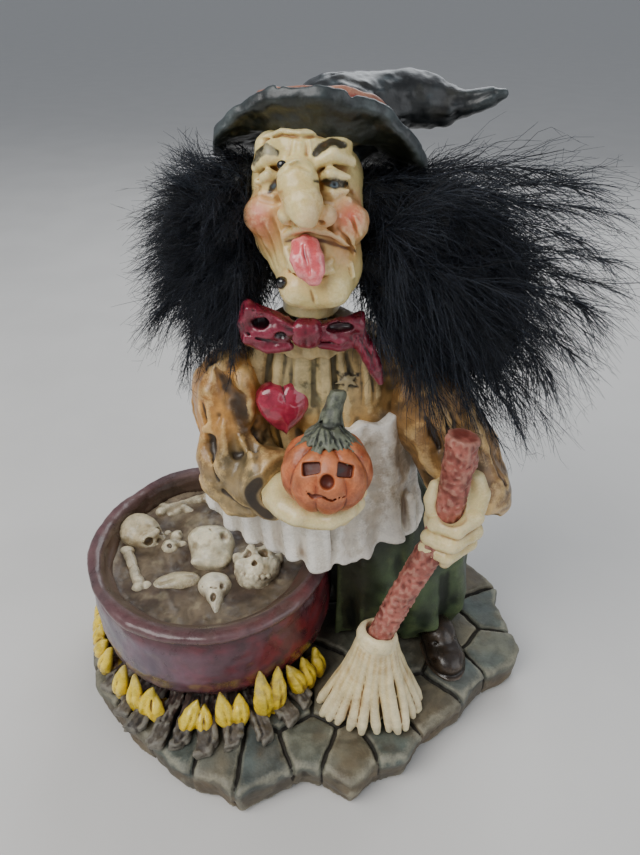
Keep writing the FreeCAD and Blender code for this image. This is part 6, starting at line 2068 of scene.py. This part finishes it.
RIGHT_TIPS = [
    (-19, 3, 112, .8), (-22.5, 7, 108.5, .9), (-24, 3, 103.5, .95), (-25, 8, 98, 1),
    (-24.5, 2, 93.5, 1), (-23, 7, 89, .95), (-20.5, 0, 88, .9), (-17.5, 5, 87.5, .85),
    (-15.5, -1, 90, .75), (-19.5, -2, 96, .85), (-21, 11, 101, .9), (-18, 12, 94, .9),
    (-16.5, -2, 101, .7), (-20, 0, 106, .8), (-16, 12, 107, .8), (-22, 9, 94, .9),
    (-13.5, 1, 91.5, .65), (-16.5, 2, 95, .8), (-19, 4, 114.5, .8), (-21.5, 2, 111, .85),
    (-18, -2, 111.5, .7), (-15, -3, 107, .6), (-24, 5, 106, .9), (-24, 0, 83, .7),
    (-22, 3, 79, .6), (-13.5, -3, 97, .6), (-14, -2, 93, .6), (-16, -4, 113.5, .7),
    (-13, -5, 110.5, .55), (-20, 6, 115.5, .7), (-12.5, -5, 103, .55), (-19, -1, 115, .7),
    (-25, 3, 98, .8), (-15, -4, 87, .6)]
BACK_ROOTS = [(-6.5, 11.5, 113), (-2, 12.6, 113), (2.5, 11.8, 112.5), (-4, 12.5, 109),
              (1, 12.6, 108)]
BACK_TIPS = [
    (-8, 18, 99, .9), (-5, 20, 97, .9), (-1, 20.5, 97, .9), (3, 19.5, 98, .9),
    (6, 17.5, 99, .85), (-10, 15.5, 102, .85), (8, 15.5, 103, .8), (-6.5, 20.5, 104, .85),
    (-2.5, 21.5, 103, .9), (1.5, 21, 104, .9), (5, 19, 105, .85), (-3, 17, 97, .8),
    (0, 18, 101, .85), (-8.5, 17, 107, .7), (6, 17.5, 108, .7)]


def normed(vectors, axis):
    return vectors / np.maximum(1e-9, np.linalg.norm(vectors, axis=axis, keepdims=True))


def tubes(paths, radii):
    """Closed three-sided tubes along paths of shape (n, k, 3), with radii of shape (n, k)."""
    n, k, _ = paths.shape
    along = normed(np.gradient(paths, axis=1), 2)
    ref = np.zeros((n, 3))
    ref[np.arange(n), np.abs(along.mean(1)).argmin(1)] = 1.0
    across = normed(np.cross(along, ref[:, None, :]), 2)
    other = np.cross(along, across)
    angles = 2 * math.pi * np.arange(3) / 3
    ring = np.cos(angles)[None, None, :, None] * across[:, :, None, :] \
        + np.sin(angles)[None, None, :, None] * other[:, :, None, :]
    points = paths[:, :, None, :] + radii[:, :, None, None] * ring
    index = np.arange(n * k * 3).reshape(n, k, 3)
    near, far = index[:, :-1], index[:, 1:]
    j = np.array([1, 2, 0])
    quads = np.stack([near, near[:, :, j], far[:, :, j], far], -1).reshape(-1, 4)
    caps = np.concatenate([index[:, 0, ::-1], index[:, -1, :]])
    return points.reshape(-1, 3), quads, caps


def barb_paths(rng, spines, per, shortest, longest, k=7):
    """Barbs off each spine: paths, radii and shade. per is the number on a spine of size 1."""
    paths, radii, shades = [], [], []
    for spine, size in spines:
        m = max(6, int(per * size * (1.0)))
        t = rng.uniform(0.06, 1.0, m) ** 0.8
        i = t * (len(spine) - 1)
        first = np.minimum(i.astype(int), len(spine) - 2)
        part = (i - first)[:, None]
        base = spine[first] * (1 - part) + spine[first + 1] * part
        along = spine[first + 1] - spine[first]
        along /= np.linalg.norm(along, axis=1, keepdims=True)
        out = rng.normal(size=(m, 3))
        out = out - along * (out * along).sum(1, keepdims=True)
        out /= np.linalg.norm(out, axis=1, keepdims=True)
        splay = np.radians(rng.uniform(14, 54, m) * (1.12 - 0.7 * t))[:, None]
        way = along * np.cos(splay) + out * np.sin(splay)
        length = (rng.uniform(shortest, longest, m) * (0.72 + 0.4 * np.sin(math.pi * t))
                  * size)[:, None]
        droop = rng.uniform(0.05, 0.42, m)[:, None]
        wave = rng.normal(size=(m, 3)) * 0.055
        curl = rng.normal(size=(m, 3)) * 0.035
        phase = rng.uniform(0, 6.28, m)[:, None]
        steps = np.linspace(0, 1, k)
        path = np.zeros((m, k, 3))
        for q, u in enumerate(steps):
            path[:, q] = base + way * length * u + along * length * 0.22 * u * u \
                + vec(0, 0, -1) * droop * length * u * u \
                + length * (wave * np.sin(u * 4.2 + phase)
                            + curl * np.sin(u * 9.0 + 2 * phase)) * u
        paths.append(path)
        thick = rng.uniform(0.05, 0.085, m)[:, None]
        radii.append(thick * (1.0 - 0.72 * steps[None, :] ** 1.3))
        shades.append(rng.uniform(0, 1, m) ** 2.2)
    return np.concatenate(paths), np.concatenate(radii), np.concatenate(shades)


def keep_clear(paths, side):
    """Holds strands off the face and under the brim. The back hair, side 0, is left alone."""
    if not side:
        return paths
    local = (paths.reshape(-1, 3) - HEAD) @ HEAD_AXES
    upper, lower = (8.1, 7.3) if side > 0 else (8.6, 7.9)
    limit = np.where(local[:, 2] > -3, upper, lower)
    front = local[:, 1] < 1.0
    push = np.clip(limit - local[:, 0] * side, 0, None) * front * (local[:, 2] > -15)
    local[:, 0] += side * push
    points = HEAD + local @ HEAD_AXES.T
    x, y, z = ((points - HAT_AT) @ HAT_AXES).T
    over = np.clip(z - brim_height(x, y) + 1.0, 0, None) * ease(20.0, 16.5, np.hypot(x, y))
    return (points - over[:, None] * HAT_UP).reshape(paths.shape)


def strands(name, node, *sets):
    """One object from sets of (paths, radii, shade)."""
    points, quads, caps, colours, first = [], [], [], [], 0
    for paths, radii, shades in sets:
        tube, sides, ends = tubes(paths, radii)
        k = paths.shape[1]
        along = np.tile(np.repeat(np.linspace(0, 1, k), 3), len(paths))
        shade = np.repeat(shades, k * 3)
        # painted sheen: blue on the lighter strands, grey towards their tips
        colour = mix(np.tile(INK, (len(tube), 1)), SHEEN_BLUE, np.clip(shade * 1.1, 0, 1))
        colours.append(mix(colour, SHEEN_GREY, np.clip(shade - 0.55, 0, 1) * along * 1.2))
        points.append(tube)
        quads.append(sides + first)
        caps.append(ends + first)
        first += len(tube)
    ob = make_mesh(name, np.concatenate(points), [np.concatenate(quads), np.concatenate(caps)],
                   FEATHER, np.concatenate(colours))
    register(ob, "head", node)


def barbules(rng, paths, count):
    """Short fine hairs along every barb: paths and radii."""
    n, k, _ = paths.shape
    i = rng.uniform(0.15, 0.95, (n, count)) * (k - 1)
    first = np.minimum(i.astype(int), k - 2)
    part = (i - first)[..., None]
    rows = np.arange(n)[:, None]
    base = paths[rows, first] * (1 - part) + paths[rows, first + 1] * part
    along = normed(paths[rows, first + 1] - paths[rows, first], 2)
    way = along * 0.8 + rng.normal(size=(n, count, 3)) * 0.55
    way /= np.linalg.norm(way, axis=2, keepdims=True)
    length = rng.uniform(0.9, 2.8, (n, count, 1))
    u = np.array([0, 0.5, 1.0])[None, None, :, None]
    hairs = base[:, :, None, :] + way[:, :, None, :] * length[:, :, None] * u \
        + rng.normal(size=(n, count, 1, 3)) * 0.12 * u ** 2
    hairs = hairs.reshape(-1, 3, 3)
    return hairs, np.tile(np.array([0.034, 0.026, 0.014]), (len(hairs), 1))


def wool_tufts(rng, points, quads, count, side):
    """Short wool all over the core: paths, radii and shade."""
    n = int(count * (1.0))
    q = quads[rng.integers(0, len(quads), n)]
    a, b, d = points[q[:, 0]], points[q[:, 1]], points[q[:, 3]]
    base = (a + points[q[:, 2]]) / 2
    normal = normed(np.cross(b - a, d - a), 1)
    out = base - np.array([HEAD[0], HEAD[1] + 3.0, base[:, 2].mean()])
    out[:, 2] *= 0.2
    out = normed(out, 1)
    way = normal * 0.75 + out * 0.5 + vec(0, 0, -0.35) + rng.normal(size=(n, 3)) * 0.42
    way /= np.linalg.norm(way, axis=1, keepdims=True)
    length = rng.uniform(2.2, 6.2, (n, 1))
    bend = rng.normal(size=(n, 3)) * 0.22 + out * 0.2 + vec(0, 0, -0.3)
    paths = np.stack([base - normal * 0.3 + way * length * u + bend * length * u * u
                      for u in (0, 0.34, 0.67, 1.0)], 1)
    radii = rng.uniform(0.05, 0.08, (n, 1)) * np.array([[1.0, 0.85, 0.6, 0.25]])
    return keep_clear(paths, side), radii, rng.uniform(0, 1, n) ** 1.8


def core_mesh(low, high, shapes, seed):
    """The dark core, from (soft edge, shape) rows, kept off the head and under the brim."""
    clay = Clay(low, high, 0.42)
    for soft, shape in shapes:
        clay.put(soft, shape)
    clay.rough(((2.2, 2.2, 3.0), 1.1, seed + 1), (0.9, 0.5, seed + 2))
    clay.dig(0.3, egg(face(-.2, 1.0, 1.0), (8.6, 9.2, 11.8), HEAD_AXES))
    clay.dig(0.2, pill((NECK_X, NECK_Y, 90), (NECK_X, NECK_Y, 104), 5.9))

    def under_brim(x, y, z):
        x, y, z = project(x - HAT_AT[0], y - HAT_AT[1], z - HAT_AT[2], HAT_AXES)
        return z - brim_height(x, y) + F32(0.7)
    clay.keep(under_brim)
    return drop_crumbs(*clay.mesh(), 80)


def hair(name, node, side, spines, per, lengths, core, seed, wool, fine):
    """side is 1 at +X, -1 at -X and 0 at the back; fine is the number of hairs on a barb."""
    rng = np.random.default_rng(seed)
    barbs, barb_radii, shades = barb_paths(rng, spines, per, *lengths)
    barbs = keep_clear(barbs, side)
    count = fine
    down, down_radii = barbules(rng, barbs, count)
    quills = np.stack([s[np.linspace(0, len(s) - 1, 12).astype(int)] for s, _ in spines])
    quills = keep_clear(quills, side)
    quill_radii = np.tile(np.linspace(0.17, 0.05, 12), (len(quills), 1))
    points, quads = core_mesh(*core, seed)
    black = np.tile(rgb(5, 6, 8), (len(points), 1))
    register(make_mesh(name, points, [quads], FEATHER, black), "head", node)
    strands(name + "_wool", node, wool_tufts(rng, points, quads, wool, side))
    strands(name + "_barbs", node, (barbs, barb_radii, shades),
            (quills, quill_radii, np.zeros(len(quills))))
    strands(name + "_down", node, (down, down_radii, np.repeat(shades, count)))


def spines_to(seed, roots, tips, lift, wobble=1.0):
    """Curved spines from the roots, taken in turn, to the tips: (points, size) pairs."""
    rng = np.random.default_rng(seed)
    t = np.linspace(0, 1, 24)[:, None]
    out = []
    for k, (*tip, size) in enumerate(tips):
        root = np.asarray(roots[k % len(roots)], float) + rng.normal(size=3) * 0.5
        tip = np.asarray(tip, float) + rng.normal(size=3) * 0.9 * wobble
        mid = root * 0.45 + tip * 0.55
        mid = mid + lift * np.linalg.norm(tip - root) * vec(0, 0, 1) \
            + rng.normal(size=3) * 1.0 * wobble
        out.append(((1 - t) ** 2 * root + 2 * t * (1 - t) * mid + t * t * tip, size))
    return out


def left_hair():
    """Long plumes that fan outwards and then fall."""
    tips = [(x, y, z + 3.2 * float(ease(98.0, 104.0, z)), size)
            for x, y, z, size in LEFT_LIFTED_TIPS] + LEFT_TIPS
    core = ((2.0, -8.0, 66.0), (52.0, 20.0, 118.0), [
        (0, chain([(9, 5.5, 110.5), (19, 6, 108), (28, 6.5, 102.5), (33, 7, 95), (34, 7, 88)],
                  [4.5, 5.8, 5.2, 3.0, 0.8])),
        (2.5, chain([(13, 1, 93), (21, 1.5, 87), (27, 3, 83), (31, 4, 81)],
                    [2.6, 3.2, 2.2, 0.7])),
        (3.0, chain([(9, 3, 102), (17, 2, 97), (25, 1.5, 92), (31, 2, 86)],
                    [3.6, 4.6, 4.4, 2.6])),
        (2.0, chain([(9.2, 2, 104), (11, 0, 97), (14, -2, 91.5)], [3.0, 3.0, 1.5])),
        (2.0, chain([(10, 10, 110), (17, 11, 102), (26, 11, 96), (33, 10, 90)],
                    [4.2, 4.6, 4.4, 3.2]))])
    hair("plume_hair_left", "hair_left", side=1, spines=spines_to(900, LEFT_ROOTS, tips, 0.15),
         per=104, lengths=(7.0, 15.5), core=core, seed=910, wool=9400, fine=2)


def right_hair():
    """Shorter and fuller plumes."""
    core = ((-30.0, -6.0, 84.0), (-5.0, 19.0, 118.0), [
        (0, chain([(-12.4, 5, 112.6), (-16, 5.5, 107.5), (-18.5, 5.5, 99), (-18.5, 5.5, 93)],
                  [4.6, 5.8, 5.8, 3.6])),
        (2.0, chain([(-11.6, 3, 104), (-14, 2, 97), (-15.5, 2, 92.5)], [3.6, 4.2, 2.4]))])
    hair("plume_hair_right", "hair_right", side=-1,
         spines=spines_to(901, RIGHT_ROOTS, RIGHT_TIPS, 0.22, 0.8),
         per=150, lengths=(5.5, 11.5), core=core, seed=920, wool=6000, fine=3)


def back_hair():
    core = ((-15.0, 4.0, 92.0), (10.0, 25.0, 118.0), [
        (0, egg((-2.4, 12.5, 105.5), (9.5, 6.2, 9.5))),
        (2.0, egg((-2.4, 13.5, 100.0), (8.0, 5.0, 5.4)))])
    hair("plume_hair_back", "hair_back", side=0,
         spines=spines_to(902, BACK_ROOTS, BACK_TIPS, 0.2, 0.7),
         per=120, lengths=(4.5, 8.5), core=core, seed=930, wool=3500, fine=3)


# ---------------------------------------------------------------------------------------------
# CAD parts that stay in view, floor, lights and camera
# ---------------------------------------------------------------------------------------------
def two_tone(name, noise, tones, split, rough, bump=None, **inputs):
    """Two tones mixed by noise between the split values; bump is strength and distance."""
    s = Shader(name)
    grain = s.noise(**noise)
    s.set("Base Color", s.blend(*tones, s.ramp(grain, *split)))
    s.set("Roughness", s.ramp(grain, 0.3, 0.7, *rough))
    for key, value in inputs.items():
        s.set(key.replace("_", " "), value)
    if bump:
        s.set("Normal", s.bump(grain, *bump))
    return s.material


def dress_cad_parts():
    felt = two_tone("green_felt", noise=dict(scale=3200, detail=4.0, rough=0.7),
                    tones=(rgb(58, 74, 60), rgb(84, 100, 82)), split=(0.35, 0.65),
                    rough=(0.86, 0.96), bump=(0.8, 0.0003), Sheen_Weight=0.4)
    steel = two_tone("bright_spring_steel",
                     noise=dict(scale=900, detail=5.0, rough=0.6, stretch=(1, 1, 6)),
                     tones=(rgb(168, 166, 160), rgb(122, 118, 112)), split=(0.4, 0.75),
                     rough=(0.2, 0.42), bump=(0.15, 0.0001), Metallic=1.0)
    plug = two_tone("moulded_grey_plug", noise=dict(scale=1500, detail=4.0, rough=0.6),
                    tones=(rgb(88, 86, 82), rgb(112, 110, 104)), split=(0.35, 0.65),
                    rough=(0.4, 0.55), bump=(0.2, 0.0001))
    for node, material in (("felt_pad", felt), ("neck_spring", steel), ("spring_seat", plug),
                           ("spring_cap", plug)):
        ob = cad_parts[node]
        ob.data.materials.clear()
        ob.data.materials.append(material)


def studio_floor():
    me = bpy.data.meshes.new("floor")
    half = 8.0
    corners = [(-half, -half, 0), (half, -half, 0), (half, half, 0), (-half, half, 0)]
    me.from_pydata(corners, [], [(0, 1, 2, 3)])
    floor = bpy.data.objects.new("studio_floor", me)
    bpy.context.scene.collection.objects.link(floor)
    me.materials.append(two_tone(
        "studio_floor_paint", noise=dict(scale=30, detail=3.0, rough=0.5),
        tones=((0.66, 0.645, 0.62), (0.69, 0.675, 0.65)), split=(0.3, 0.7), rough=(0.6, 0.7)))


def area_light(name, place, target, size, power, colour):
    """Place, target and size are in metres and power in watts."""
    light = bpy.data.lights.new(name, "AREA")
    light.shape = "DISK"
    light.size = size
    light.energy = power
    light.color = colour
    ob = bpy.data.objects.new(name, light)
    ob.location = place
    aim = Vector(target) - Vector(place)
    ob.rotation_euler = aim.to_track_quat("-Z", "Y").to_euler()
    bpy.context.scene.collection.objects.link(ob)


def lights_and_camera():
    world = bpy.data.worlds.new("studio")
    bpy.context.scene.world = world
    world.use_nodes = True
    background = world.node_tree.nodes["Background"]
    background.inputs["Color"].default_value = (0.84, 0.9, 1.0, 1)
    background.inputs["Strength"].default_value = 0.34
    area_light("key", place=(-0.26, -0.20, 0.42), target=(0, 0, 0.06), size=0.40, power=2.2,
               colour=(1.0, 0.985, 0.96))
    area_light("fill", place=(0.34, -0.22, 0.24), target=(0, 0, 0.06), size=0.4, power=0.55,
               colour=(0.95, 0.97, 1.0))
    area_light("rim", place=(0.12, 0.36, 0.34), target=(0, 0, 0.08), size=0.34, power=0.9,
               colour=(0.92, 0.96, 1.0))
    camera = bpy.data.cameras.new("camera")
    camera.lens = 27.0
    camera.sensor_width = 36.0
    camera.clip_start = 0.005
    ob = bpy.data.objects.new("camera", camera)
    ob.location = (0, -0.100, 0.140)
    ob.rotation_euler = (math.radians(55), 0, 0)
    bpy.context.scene.collection.objects.link(ob)
    bpy.context.scene.camera = ob


flagstones()
cauldron()
stew_surface()
skull_left()
skull_centre()
skull_right()
beaked_skull()
shoulder_blade()
thigh_bone()
arm_bone()
knuckle_bone()
fire_rng = np.random.default_rng(77)    # shared, so the flames follow on from the logs
firewood(fire_rng)
flames(fire_rng)
broom_stick()
broom_collar()
broom_straw()
green_underskirt()
boot_pair()
gathered_bodice()
right_sleeve()
left_sleeve()
gathered_apron()
frilled_collar()
ribbon_knot()
ribbon_loops()
cracked_heart()
open_hand()
gripping_hand()
carved_pumpkin()
pumpkin_stem()
wart_ground = witch_head()
stuck_out_tongue()
wart_beads(wart_ground)
hat_brim()
hat_crown()
hat_band()
left_hair()
right_hair()
back_hair()
dress_cad_parts()
studio_floor()
lights_and_camera()

bpy.context.view_layer.update()
